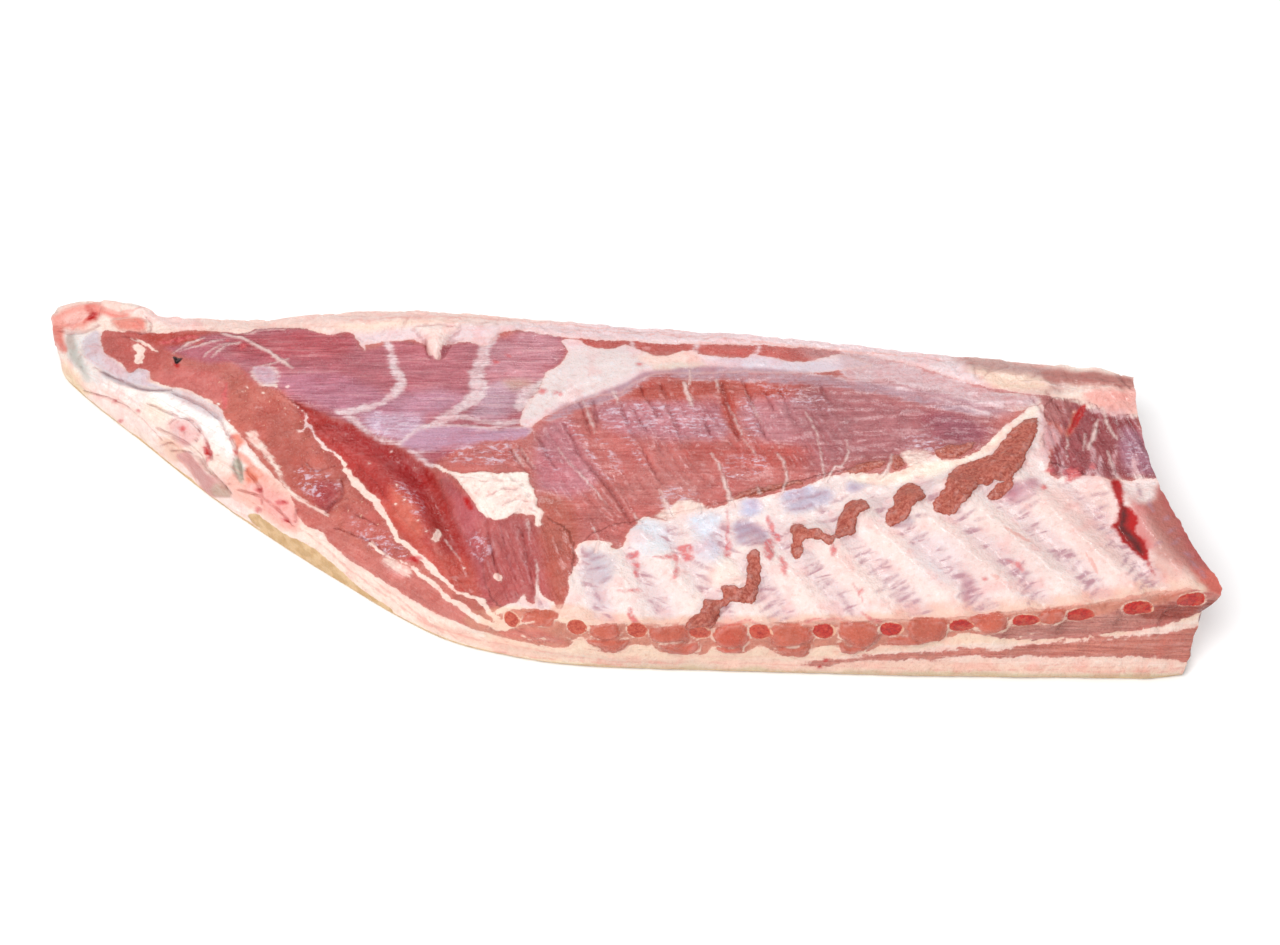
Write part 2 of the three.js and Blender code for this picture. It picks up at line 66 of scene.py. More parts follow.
# near x, y, far x, y, flare, bow, then the heights of the upper face at the shares of the width in ACROSS
SECTIONS = np.array([
    [-350, 126, -351, 137, 1, 0, 22, 24, 26, 27, 28, 28, 27, 25],
    [-344, 110, -345, 141, 2, -3, 22, 25, 28, 30, 32, 33, 32, 28],
    [-322, 87, -329, 144, 4, -2, 20, 25, 28, 31, 33, 35, 35, 31],
    [-289, 55, -302, 139, 4, 0, 19, 24, 29, 33, 36, 37, 36, 32],
    [-256, 22, -282, 131, 4, 0, 19, 24, 29, 35, 39, 39, 37, 33],
    [-222, -9, -262, 128, 4, 0, 20, 24, 29, 35, 40, 40, 38, 34],
    [-190, -35, -236, 128, 5, 0, 22, 25, 29, 35, 40, 40, 38, 34],
    [-157, -60, -208, 128, 6, 0, 25, 27, 30, 35, 41, 41, 38, 34],
    [-122, -86, -176, 131, 6, 0, 25, 28, 31, 36, 42, 41, 39, 35],
    [-90, -105, -140, 134, 6, 0, 28, 32, 37, 40, 42, 41, 39, 35],
    [-56, -118, -104, 133, 4, 0, 37, 39, 42, 43, 43, 41, 39, 35],
    [-20, -126, -65, 129, 3, 0, 39, 42, 43, 44, 43, 41, 39, 35],
    [22, -130, -22, 125, 2, 0, 40, 44, 44, 44, 43, 41, 39, 34],
    [75, -132, 30, 119, 2, 0, 41, 44, 45, 45, 43, 41, 39, 34],
    [130, -133, 84, 114, 3, 0, 43, 46, 47, 46, 44, 41, 39, 34],
    [185, -134, 140, 106, 4, 0, 46, 49, 49, 48, 45, 42, 39, 35],
    [238, -134, 193, 96, 5, 0, 51, 53, 53, 50, 47, 44, 41, 36],
    [286, -131, 242, 88, 9, -2, 56, 58, 56, 53, 49, 46, 43, 38],
    [322, -128, 286, 79, 13, -6, 60, 60, 58, 55, 52, 48, 45, 41],
    [346, -124, 314, 72, 16, -10, 61, 61, 59, 57, 54, 50, 47, 44],
    [360, -120, 331, 66, 18, -12, 59, 59, 58, 56, 53, 49, 46, 43],
], float)
# share of the height, and how far the wall stands out there, at the flank and at the shoulder
NEAR_WALL = np.array([[1, 0, 0], [0.86, 0.8, 0.4], [0.7, 1.4, -2.6], [0.5, 1.8, -0.6], [0.25, 1.8, 0.8],
                      [0.07, 1.2, 1.2], [0, -2, -2]])
FAR_WALL = np.array([[1, 0, 0], [0.75, 2.6, 2.6], [0.4, 3.8, 3.8], [0.12, 1.4, 1.4], [0, -3, -3]])
SHOULDER_FROM, SHOULDER_BY = 120, 260
OUTSIDE_LOIN_Y = -160
ORIGIN_SHIFT = np.array([-4.5, -3.5, 0])
END_OVERHANG, END_OVERHANG_SHARE, END_SLOPE, END_FROM = 8, 0.26, 13, 300
END_RINGS = 16
END_SPINE_MARGIN = 22
RAGGED_FROM, RAGGED_RAMP, RAGGED_SIZE, RAGGED_BY = 318, 30, 8, 2.2
# where a straight cut through the shoulder end shows its layers: y, and heights at the loin side and there
END_LEAN = (50, 47.5, 31.5)
END_SHEET_UNDER = (26, 21, 12)
END_SHEET_OVER = (26, 43.5, 24.5)
END_BEYOND, END_WAVE = 1.2, 1.2

# swellings and grooves of the upper face: rise, spread, and the line they follow
SWELLS = {
    "fold between flank and belly wall": (
        -8, 11, [(-107, -4), (-98, -29), (-87, -59), (-75, -83), (-62, -98)]),
    "cut flank muscle": (4, 20, [(-212, 34), (-188, 4), (-160, -26), (-132, -54), (-112, -70)]),
    "inner flank muscle": (4, 12, [(-170, 24), (-146, 2), (-122, -26), (-104, -56)]),
    "groove under the belly wall's edge": (
        -3.2, 9, [(-206, 46), (-182, 36), (-160, 27), (-142, 12), (-126, 4), (-112, -8)]),
    "first diaphragm stub": (4, 7, [(57, -136), (66, -123), (84, -108), (94, -100), (93, -86)]),
    "second diaphragm stub": (4, 7, [(121, -88), (118, -72), (131, -67), (140, -75), (149, -58), (163, -48)]),
    "third diaphragm stub": (4, 8, [(181, -55), (188, -44), (206, -31)]),
    "fourth diaphragm stub": (4, 9, [(213, -44), (224, -30), (242, -18), (256, -2), (266, 14)]),
    "fat pad": (3, 15, [(-78, -26), (-46, -34)]),
    "tip lobe": (4, 9, [(-348, 136), (-330, 139)]),
    "crease behind the tip lobe": (-4, 6, [(-352, 124), (-336, 127), (-326, 133)]),
    "second tip lobe": (4, 9, [(-316, 138), (-294, 134)]),
    "flank fat margin": (4, 12, [(-318, 98), (-296, 62), (-262, 36)]),
    "belly rim": (3, 9, [(-170, 118), (-120, 121), (-60, 115)]),
    "fold across the belly wall": (-2.5, 13, [(-12, 46), (4, 22), (12, -12), (20, -44)]),
    "shoulder hollow": (-5, 16, [(296, 30), (312, 2), (318, -28)]),
}
WALL_EDGE = [(-250, 78), (-219, 64), (-199, 50), (-182, 42), (-159, 33), (-140, 18), (-125, 11), (-107, -6)]
WALL_STEP, WALL_STEP_RAMP, WALL_STEP_REACH, WALL_STEP_START = 3, 7, 42, 4

# ---- Layers and ribs ----
# near x, y, far x, y, and the height of the underside at each
LEAN_SECTIONS = np.array([
    [-317, 112, -318, 119, 14, 14], [-306, 93, -298, 115, 12, 13], [-284, 76, -268, 114, 11, 12],
    [-262, 66, -246, 116, 11, 12], [-240, 54, -222, 118, 11, 12], [-229, 26, -200, 118, 11, 12],
    [-217, 2, -180, 115, 12, 12], [-196, -24, -160, 108, 15, 13], [-170, -58, -136, 101, 18, 13],
    [-132, -110, -108, 100, 18.5, 13], [-84, -150, -80, 102, 17.5, 14], [-54, -160, -54, 108, 16, 14],
    [-10, -160, -10, 109, 16, 15], [48, -160, 48, 102, 18.5, 16], [90, -160, 90, 99, 22, 18],
    [126, -160, 126, 97, 26.5, 20], [187, -160, 187, 87, 31, 23], [232, -160, 232, 68, 34, 25],
    [276, -160, 276, 50, 38, 27], [320, -160, 320, 55, 45, 30], [390, -160, 390, 50, 50, 32],
], float)
LEAN_TOP = 90
# x, far y, underside at the loin side and at the far side, upper side at both
OUTER_LEAN_SECTIONS = np.array([
    [76, 78, 14.6, 11, 16.2, 12.6], [100, 76, 14, 10.5, 20, 14], [130, 74, 14, 10, 22.5, 15.5],
    [210, 66, 15, 10, 28, 18.5], [280, 44, 17.5, 11, 34.5, 22], [330, 30, 20, 12, 42, 24],
    [390, 22, 22, 12, 46, 26],
], float)
LAYER_STEPS = 4
LAYER_POINTS = 6

# x of the sawn end, width, length, lean in degrees
RIBS = [(341, 17, 112, 19), (310, 16, 124, 27), (277, 14.5, 118, 30), (246, 14, 108, 31), (209, 12.5, 96, 31),
        (169, 12, 82, 31), (130, 12, 72, 30), (93, 11.5, 68, 28), (58, 11.5, 74, 24), (22, 11.5, 76, 18),
        (-13, 11, 60, 14), (-51, 9, 22, 8)]
RIB_HEIGHT, RIB_COVER, RIB_RISE, RIB_SPREAD = 11.5, 2.2, 3.2, 8.5
RIB_SIDES, RIB_STEP, RIB_BEND, RIB_TIP, RIB_DIP = 28, 16, 10, 0.55, 1.5
SAW_OVERSHOOT = 22
LOBE_BULGE, LOBE_CLEAR, LOBES_FROM, LOBE_SHARE, LOBE_SHARE_SPREAD = 2.4, 7, -90, 0.74, 0.2
BISECTIONS = 18  # to find which station a point in plan lies at


# ---- Curves ----
def smooth(t):
    t = np.clip(t, 0, 1)
    return t * t * (3 - 2 * t)


def bump(distance, spread):
    return np.exp(-((distance / spread) ** 2))


def mix(a, b, t):
    return a + (b - a) * t


def through(values, t):
    """Rows of values at places t, 0 to 1, of a smooth curve through evenly placed rows."""
    values = np.asarray(values, float)
    last = len(values) - 1
    at = np.clip(np.atleast_1d(t), 0, 1) * last
    i = np.minimum(at.astype(int), last - 1)
    f = (at - i).reshape(-1, *[1] * (values.ndim - 1))
    a, b, c, d = (values[np.clip(i + k, 0, last)] for k in (-1, 0, 1, 2))
    return b + 0.5 * f * (c - a + f * (2 * a - 5 * b + 4 * c - d + f * (3 * (b - c) + d - a)))


def height_across(heights, shares):
    """Heights for each section, one row each, at shares of its width."""
    last = len(ACROSS) - 1
    i = np.clip(np.searchsorted(ACROSS, shares, "right") - 1, 0, last - 1)
    place = (i + (shares - ACROSS[i]) / (ACROSS[i + 1] - ACROSS[i])) / last
    return through(heights.T, place).T


def to_line(line, x, y):
    """Distance of points from a line, on which side of it they are, and how far along it, 0 to 1."""
    distance = np.full(np.shape(x), np.inf)
    side, along = np.ones(np.shape(x)), np.zeros(np.shape(x))
    for i in range(len(line) - 1):
        (ax, ay), (bx, by) = line[i], line[i + 1]
        dx, dy = bx - ax, by - ay
        t = np.clip(((x - ax) * dx + (y - ay) * dy) / max(dx * dx + dy * dy, 1e-9), 0, 1)
        away = np.hypot(x - ax - t * dx, y - ay - t * dy)
        nearer = away < distance
        distance = np.where(nearer, away, distance)
        side = np.where(nearer, np.where(dx * (y - ay) > dy * (x - ax), 1, -1), side)
        along = np.where(nearer, (i + t) / (len(line) - 1), along)
    return distance, side, along


def inside_by(outline, x, y):
    """How far inside an outline points are; negative outside."""
    closed = np.vstack([outline, outline[:1]])
    distance = to_line(closed, x, y)[0]
    inside = np.zeros(np.shape(x), bool)
    for (ax, ay), (bx, by) in zip(closed, closed[1:]):
        if ay != by:
            inside ^= ((ay > y) != (by > y)) & (x < ax + (y - ay) * (bx - ax) / (by - ay))
    return np.where(inside, distance, -distance)


def noise(points, size, seed=0):
    """Smooth noise, -1 to 1, at points with any number of coordinates, with lumps of the given size."""
    at = points / size + 31.7 * (seed + 1)
    cell = np.floor(at).astype(np.int64)
    f = at - cell
    f = f * f * f * (f * (f * 6 - 15) + 10)
    total = np.zeros(len(at))
    for corner in np.ndindex(*(2,) * at.shape[1]):
        key = np.zeros(len(at), np.int64)
        weight = np.ones(len(at))
        for k, step in enumerate(corner):
            key = (key * 73856093 + (cell[:, k] + step) * 19349663 + 83492791 * (k + 1)) & 0x7FFFFFFF
            key ^= key >> 13
            weight *= f[:, k] if step else 1 - f[:, k]
        key = (key * 1274126177) & 0x7FFFFFFF
        key ^= key >> 15
        total += weight * ((key % 65521) / 32760.5 - 1)
    return total


def lumps(points, size, seed=0, octaves=3):
    return sum(noise(points, size / 2**k, seed + k) / 2**k for k in range(octaves)) / (2 - 2 ** (1 - octaves))


# ---- The slab's surface ----
def loin_face_y(x):
    return float(np.interp(x, SECTIONS[:, 0], SECTIONS[:, 1]))


def rib_line(rib):
    """A rib's centreline in plan, from outside the loin face inwards."""
    x, _, length, lean = rib
    steps = math.ceil(length / RIB_STEP)
    outside = math.radians(lean)
    y = loin_face_y(x)
    line = [(x + math.sin(outside) * SAW_OVERSHOOT, y - math.cos(outside) * SAW_OVERSHOOT)]
    for i in range(steps + 1):
        line.append((x, y))
        turned = math.radians(lean + RIB_BEND * i / steps)
        x -= math.sin(turned) * length / steps
        y += math.cos(turned) * length / steps
    return line


RIB_LINES = [rib_line(rib) for rib in RIBS]


def swelling(x, y):
    rise = sum(height * bump(to_line(line, x, y)[0], spread) for height, spread, line in SWELLS.values())
    distance, side, along = to_line(WALL_EDGE, x, y)
    inside = side * distance
    step = WALL_STEP * smooth(along * WALL_STEP_START) * smooth(inside / WALL_STEP_RAMP + 0.5)
    return rise + step * bump(np.maximum(inside, 0), WALL_STEP_REACH)


def rib_swelling(x, y):
    return RIB_RISE * np.max([bump(to_line(line, x, y)[0], RIB_SPREAD) for line in RIB_LINES], axis=0)


def lobe_at(x):
    nearest = np.min([np.abs(rib[0] - x) for rib in RIBS], axis=0)
    return LOBE_BULGE * smooth((nearest - LOBE_CLEAR) / LOBE_CLEAR) * smooth((x - LOBES_FROM) / LOBE_CLEAR)


def bone_face_height(x, y):
    """Height over points in plan of the face that the bones follow: under grooves, but not up into lumps."""
    low, high = np.zeros(len(x)), np.ones(len(x))
    for _ in range(BISECTIONS):
        t = (low + high) / 2
        near_x, near_y, far_x, far_y = through(SECTIONS, t)[:, :4].T
        beyond = (far_x - near_x) * (y - near_y) - (far_y - near_y) * (x - near_x) < 0
        low, high = np.where(beyond, t, low), np.where(beyond, high, t)
    sections = through(SECTIONS, low)
    shares = np.clip((y - sections[:, 1]) / (sections[:, 3] - sections[:, 1]), 0, 1)
    heights = [height_across(row[None, 6:], np.array([share]))[0, 0] for row, share in zip(sections, shares)]
    return np.array(heights) + np.minimum(0, swelling(x, y))


def station_places():
    """Places along the slab, evenly spaced down the middle of its upper face."""
    fine = np.linspace(0, 1, STATIONS * 4)
    sections = through(SECTIONS, fine)
    middle = (sections[:, :2] + sections[:, 2:4]) / 2
    walked = np.concatenate([[0], np.cumsum(np.hypot(*np.diff(middle, axis=0).T))])
    return np.interp(np.linspace(0, walked[-1], STATIONS + 1), walked, fine)


def wall(edge, direction, profile, rows, foot, lobe, end_share):
    """Points down one wall from its upper edge, for every station."""
    shoulder = smooth((edge[:, 0] - SHOULDER_FROM) / (SHOULDER_BY - SHOULDER_FROM))[:, None]
    share, flank, at_shoulder = through(profile, np.arange(1, rows + 1) / rows).T
    share = np.clip(share, 0, 1)
    reach = mix(flank, at_shoulder, shoulder) + foot[:, None] * (1 - share)
    reach = reach + lobe[:, None] * bump(share - LOBE_SHARE, LOBE_SHARE_SPREAD)
    back = END_OVERHANG * smooth((1 - share) / END_OVERHANG_SHARE) + END_SLOPE * (1 - share)
    x = edge[:, :1] + direction[:, :1] * reach - end_share[:, None] * back
    return np.stack([x, edge[:, 1:2] + direction[:, 1:] * reach, edge[:, 2:] * share], axis=2)


def slab_grid():
    """The slab's rings as an array (stations, points, 3), and the face that each point of a ring is on."""
    sections = through(SECTIONS, station_places())
    near, far, heights = sections[:, :2], sections[:, 2:4], sections[:, 6:]
    flare, bow = sections[:, 4], sections[:, 5]
    v = np.linspace(0, 1, ROWS + 1)
    x = mix(near[:, :1], far[:, :1], v) + bow[:, None] * np.sin(np.pi * v)
    y = mix(near[:, 1:], far[:, 1:], v)
    z = height_across(heights, v) + swelling(x, y) + rib_swelling(x, y)
    upper = np.stack([x, y, z], axis=2)
    out = near - far
    out = out / np.linalg.norm(out, axis=1, keepdims=True)
    end_share = smooth((near[:, 0] - END_FROM) / (SECTIONS[-1, 0] - END_FROM))
    none = np.zeros(len(sections))
    far_wall = wall(upper[:, -1], -out, FAR_WALL, FAR_ROWS, none, none, end_share)
    near_wall = wall(upper[:, 0], out, NEAR_WALL, NEAR_ROWS, flare, lobe_at(near[:, 0]), end_share)[:, ::-1]
    steps = (np.arange(1, UNDER_ROWS + 1) / (UNDER_ROWS + 1))[None, :, None]
    under = mix(far_wall[:, -1:], near_wall[:, :1], steps)
    grid = np.concatenate([upper, far_wall, under, near_wall], axis=1)
    kinds = np.repeat([TOP, FAR, UNDER, NEAR], [ROWS + 1, FAR_ROWS, UNDER_ROWS, NEAR_ROWS])
    return grid, kinds


def grid_normals(grid):
    """Outward directions at a grid's points, which run round it in rings."""
    along = np.gradient(grid, axis=0)
    around = np.roll(grid, -1, axis=1) - np.roll(grid, 1, axis=1)
    normal = np.cross(along, around)
    normal /= np.maximum(np.linalg.norm(normal, axis=2, keepdims=True), 1e-9)
    return normal if normal[STATIONS // 2, ROWS // 2, 2] > 0 else -normal


def end_rings(ring):
    """Rings inside the shoulder end, from its outline to its middle line."""
    low, high = ring[:, 1].min() + END_SPINE_MARGIN, ring[:, 1].max() - END_SPINE_MARGIN
    ends = [ring[np.abs(ring[:, 1] - y) < END_SPINE_MARGIN].mean(axis=0) for y in (low, high)]
    for end, y in zip(ends, (low, high)):
        end[1] = y
    run = ends[1] - ends[0]
    t = np.clip((ring - ends[0]) @ run / (run @ run), 0, 1)
    spine = ends[0] + t[:, None] * run
    return [mix(ring, spine, k / (END_RINGS + 1)) for k in range(1, END_RINGS + 1)]


# ---- The picture ----
def make_camera():
    data = bpy.data.cameras.new("camera")
    data.lens, data.sensor_width, data.sensor_fit = LENS, SENSOR, "HORIZONTAL"
    camera = bpy.data.objects.new("camera", data)
    bpy.context.scene.collection.objects.link(camera)
    back = Vector((0, -math.cos(VIEW_ELEVATION), math.sin(VIEW_ELEVATION)))
    camera.location = VIEW_TARGET + VIEW_DISTANCE * back
    camera.rotation_euler = (math.pi / 2 - VIEW_ELEVATION, 0, 0)
    bpy.context.scene.camera = camera


def picture_of(points):
    """Where points of the slab show in the picture, in millimetres of the slab across and up it."""
    sine, cosine = math.sin(VIEW_ELEVATION), math.cos(VIEW_ELEVATION)
    eye = np.array(VIEW_TARGET) + VIEW_DISTANCE * np.array([0, -cosine, sine])
    local = (points + ORIGIN_SHIFT) * MM - eye
    depth = local @ np.array([0, cosine, -sine])
    focal = PHOTO_SIZE[0] * LENS / SENSOR
    x = PHOTO_SIZE[0] / 2 + focal * local[:, 0] / depth
    y = PHOTO_SIZE[1] / 2 - focal * (local @ np.array([0, sine, cosine])) / depth
    return np.stack([x, y], axis=1) * PIXEL_MM


def rounded(course, closed):
    """A smooth curve through the points of a line or, closed, of an outline."""
    count = len(course)
    if count < 3:
        return course
    wrapped = np.vstack([course[-2:], course, course[:3]]) if closed else course
    steps = CURVE_STEPS * (len(wrapped) - 1)
    curve = through(wrapped, np.linspace(0, 1, steps + 1))
    return curve[2 * CURVE_STEPS:(2 + count) * CURVE_STEPS] if closed else curve


def px(text, closed=False):
    """A line of x,y pixel pairs as a curve of picture points in millimetres."""
    return rounded(np.array([pair.split(",") for pair in text.split()], float) * PIXEL_MM, closed)


class Skin:
    """Points of the slab by where they show in the picture, to measure how far they are from what shows."""

    def __init__(self, shown):
        self.shown = shown

    def near(self, course, reach):
        low, high = course.min(axis=0) - reach, course.max(axis=0) + reach
        return np.flatnonzero(np.all((self.shown > low) & (self.shown < high), axis=1))

    def area(self, text, reach=REACH):
        """How far inside an outline the points are, within reach."""
        outline = px(text, closed=True)
        found = self.near(outline, reach)
        distance = np.full(len(self.shown), -reach)
        distance[found] = np.clip(inside_by(outline, *self.shown[found].T), -reach, reach)
        return distance

    def line(self, text, widths, reach=REACH):
        """How far inside bands the points are: along lines parted by semicolons, as wide as widths say."""
        distance = np.full(len(self.shown), -reach)
        for part in text.split(";"):
            course = px(part)
            found = self.near(course, reach)
            away, _, along = to_line(course, *self.shown[found].T)
            half = np.interp(along, np.linspace(0, 1, len(widths)), np.array(widths) / 2)
            distance[found] = np.maximum(distance[found], np.clip(half - away, -reach, reach))
        return distance

    def spots(self, text, radius, reach=REACH):
        """How far inside round spots the points are."""
        distance = np.full(len(self.shown), -reach)
        for pair in text.split():
            spot = np.array(pair.split(","), float) * PIXEL_MM
            distance = np.maximum(distance, radius - np.hypot(*(self.shown - spot).T))
        return np.clip(distance, -reach, reach)

    def distance(self, features):
        """The furthest inside any of the named features: outlines, (line, widths) or (spots, radius)."""
        best = np.full(len(self.shown), -REACH)
        for feature in features.values():
            if isinstance(feature, str):
                found = self.area(feature)
            elif isinstance(feature[1], (list, tuple)):
                found = self.line(*feature)
            else:
                found = self.spots(*feature)
            best = np.maximum(best, found)
        return best


def outline_of(areas, name):
    return next(area[3] for area in areas if area[0] == name)


# ---- What shows, in pixels of the 1280 x 945 picture ----
# A lone string is an outline, a string with a list is a line with its widths in millimetres, evenly along it,
# and a string with a number is spots with their radius in millimetres. Semicolons part lines of one kind.
LEAN_OUTLINE = (
    "101,332 104,351 116,360 123,364 129,373 138,368 149,371 151,379 169,386 188,390 206,399 221,408 225,418 "
    "236,429 242,438 253,451 262,462 273,475 290,496 297,514 309,528 322,532 330,543 354,563 383,581 416,602 "
    "451,620 487,633 522,642 545,646 561,648 571,646 591,650 617,653 660,652 700,655 750,656 800,657 850,653 "
    "900,648 950,645 1014,641 1081,637 1117,632 1148,629 1173,623 1201,615 1222,606 1240,598 1290,560 "
    "1290,418 1134,414 1112,416 1094,404 1076,399 1049,396 978,385 911,365 845,352 760,345 664,344 624,341 "
    "583,339 554,336 524,331 503,332 493,341 485,346 464,342 446,344 424,344 413,340 401,341 387,342 369,345 "
    "360,341 354,334 342,332 326,335 311,330 299,328 262,328 243,333 225,332 193,330 169,333 149,333 119,331")
LINING = (
    "494,612 505,604 517,602 523,594 528,602 535,602 537,582 541,594 551,602 560,610 566,600 570,580 576,560 "
    "578,544 594,540 609,541 614,548 625,543 630,530 642,518 652,517 668,520 683,512 707,508 724,506 740,499 "
    "773,494 803,486 828,476 853,472 887,474 912,466 937,452 941,460 970,455 995,436 1020,414 1040,404 "
    "1046,424 1040,440 1049,455 1047,471 1064,479 1088,476 1114,480 1136,481 1158,482 1185,520 1230,575 "
    "1250,590 1240,600 1190,588 1140,594 1080,604 1010,611 960,617 900,618 830,620 760,622 700,622 640,623 "
    "580,621 560,614 523,608 500,614")
# fat between the muscles of the loin face: in the gaps, under the row, and round single muscles
LOIN_SEAMS = {
    "over the first bones": "560,613 572,618 590,619 606,622 590,626 572,624 560,622",
    "tenth bone's gap": "562,634 574,640 584,638 590,646 600,652 570,648 574,642",
    "under the row": (
        "600,653 622,652 630,644 646,644 658,648 664,654 700,655 712,648 722,653 745,652 757,646 770,650 "
        "780,656 805,656 815,648 836,645 846,652 870,650 880,645 893,646 915,643 945,638 965,634 1000,637 "
        "1030,640 1090,637 1050,643 1000,645 940,648 880,652 830,657 760,658 680,657 620,656"),
    "pale strip of the shoulder": (
        "1116,637 1130,632 1148,629 1173,622 1201,613 1214,611 1200,622 1173,627 1148,632"),
}
SEAM_LINES = {
    "row's upper edge": (
        "560,609 600,620 660,624 720,622 790,620 860,618 930,613 1000,608 1080,599", [1.6, 2.6, 1.6]),
    "across the long muscle": ("529,638 541,639 554,641", [0.6, 0.9, 0.5]),
    "second across it": ("512,633 526,636", [0.5, 0.7]),
    "rag's thread": ("1036,642 1060,640 1088,638", [0.6, 1, 0.6]),
    "second rag's thread": ("1120,644 1146,638 1173,632", [0.5, 1, 0.6]),
    "third rag's thread": ("970,638 1000,640 1036,633", [0.6, 1.1, 0.6]),
}

FAT = {
    "seam along the cut flank muscle": (
        "294,403 305,414 307,424 318,437 328,449 340,459 346,469 356,482 368,496 380,505 390,524 398,537 "
        "410,547 424,562 436,573 448,583 460,593 476,599",
        [1.2, 1.6, 1.6, 2.2, 4.4, 4.6, 3.2, 3.6, 4.6, 2.2, 1.8]),
    "spur of the seam": ("307,424 303,431 297,429", [1.8, 1.4, 0.6]),
    "outer seam": (
        "371,544 388,556 404,563 418,572 430,582 445,596 457,603 470,612 485,622 500,628 515,625 532,621",
        [2.2, 1.4, 1.6, 3, 3.4, 3.8, 4.8, 5.5, 4, 1.2]),
    "link of the seams": ("466,597 482,600 492,614 503,626", [1.2, 4, 3.4, 3]),
    "patch at the tip": "134,346 139,343 144,349 145,357 144,363 137,363 132,360 136,353",
    "shreds at the tip": ("132,339 145,344 155,352", [0.8, 2.4, 1.6]),
    "drip": "416,328 423,339 427,346 429,353 433,358 439,358 442,352 446,344 452,337 458,328",
    "rim's ragged flap": "353,326 354,334 360,341 364,350 367,343 374,340 380,334 380,326",
    "second ragged flap": "470,334 478,343 485,347 492,341 496,334",
    "fat pad": (
        "433,467 440,466 448,471 464,473 481,471 499,473 518,471 530,473 530,483 536,494 538,506 543,512 "
        "541,524 536,526 533,516 520,513 513,514 501,520 491,518 481,512 473,498 460,483 446,473"),
    "specks in the flank": (
        "369,464 396,486 392,451 415,469 397,503 404,499 420,520 426,531 452,584 463,569", 0.9),
    "blob in the valley": "431,540 434,532 438,529 441,535 437,542",
    "bit by the lining": "494,576 498,574 503,578 500,581 496,580",
    "specks by the first muscle": ("275,385 285,387 263,393 246,386 240,391 218,404 228,421", 1),
}
# muscle in the loin face, between and under the bones' ends
LOIN_MUSCLE = {
    "first": "520,622 524,612 535,609 548,611 560,615 556,624 548,628 532,626",
    "tenth gap": "588,629 592,624 603,622 614,623 619,628 620,634 614,640 603,641 593,638",
    "under the tenth gap": "584,640 603,640 613,640 629,639 627,646 622,651 609,653 596,649",
    "ninth gap": "650,630 661,627 672,627 685,625 690,632 688,641 675,643 664,644 652,642",
    "under the ninth gap": "660,646 669,644 684,643 698,644 698,651 685,655 672,655 663,651",
    "eighth gap": "713,631 720,625 731,622 746,625 750,634 750,642 741,647 725,648 715,641",
    "under the eighth gap": "716,646 730,647 743,645 742,652 728,655 718,651",
    "seventh gap": "769,629 781,623 794,623 807,626 815,632 815,639 803,645 787,647 776,647 769,640",
    "under the seventh gap": "776,647 790,647 803,645 813,645 811,652 802,657 789,657 779,655",
    "sixth gap": "837,626 844,621 862,621 877,625 880,636 871,645 860,648 850,645 839,637",
    "under the sixth gap": "838,642 847,645 860,645 866,648 853,654 840,652",
    "fifth gap": "906,626 912,618 923,615 938,616 948,624 945,636 933,643 920,643 909,635",
    "under the fifth gap": "888,640 897,635 911,635 922,642 911,647 893,647",
    "fourth gap": "969,618 979,612 995,612 1010,617 1008,628 994,633 978,631",
    "third gap": "1037,616 1047,609 1063,609 1069,617 1059,624 1044,624",
}
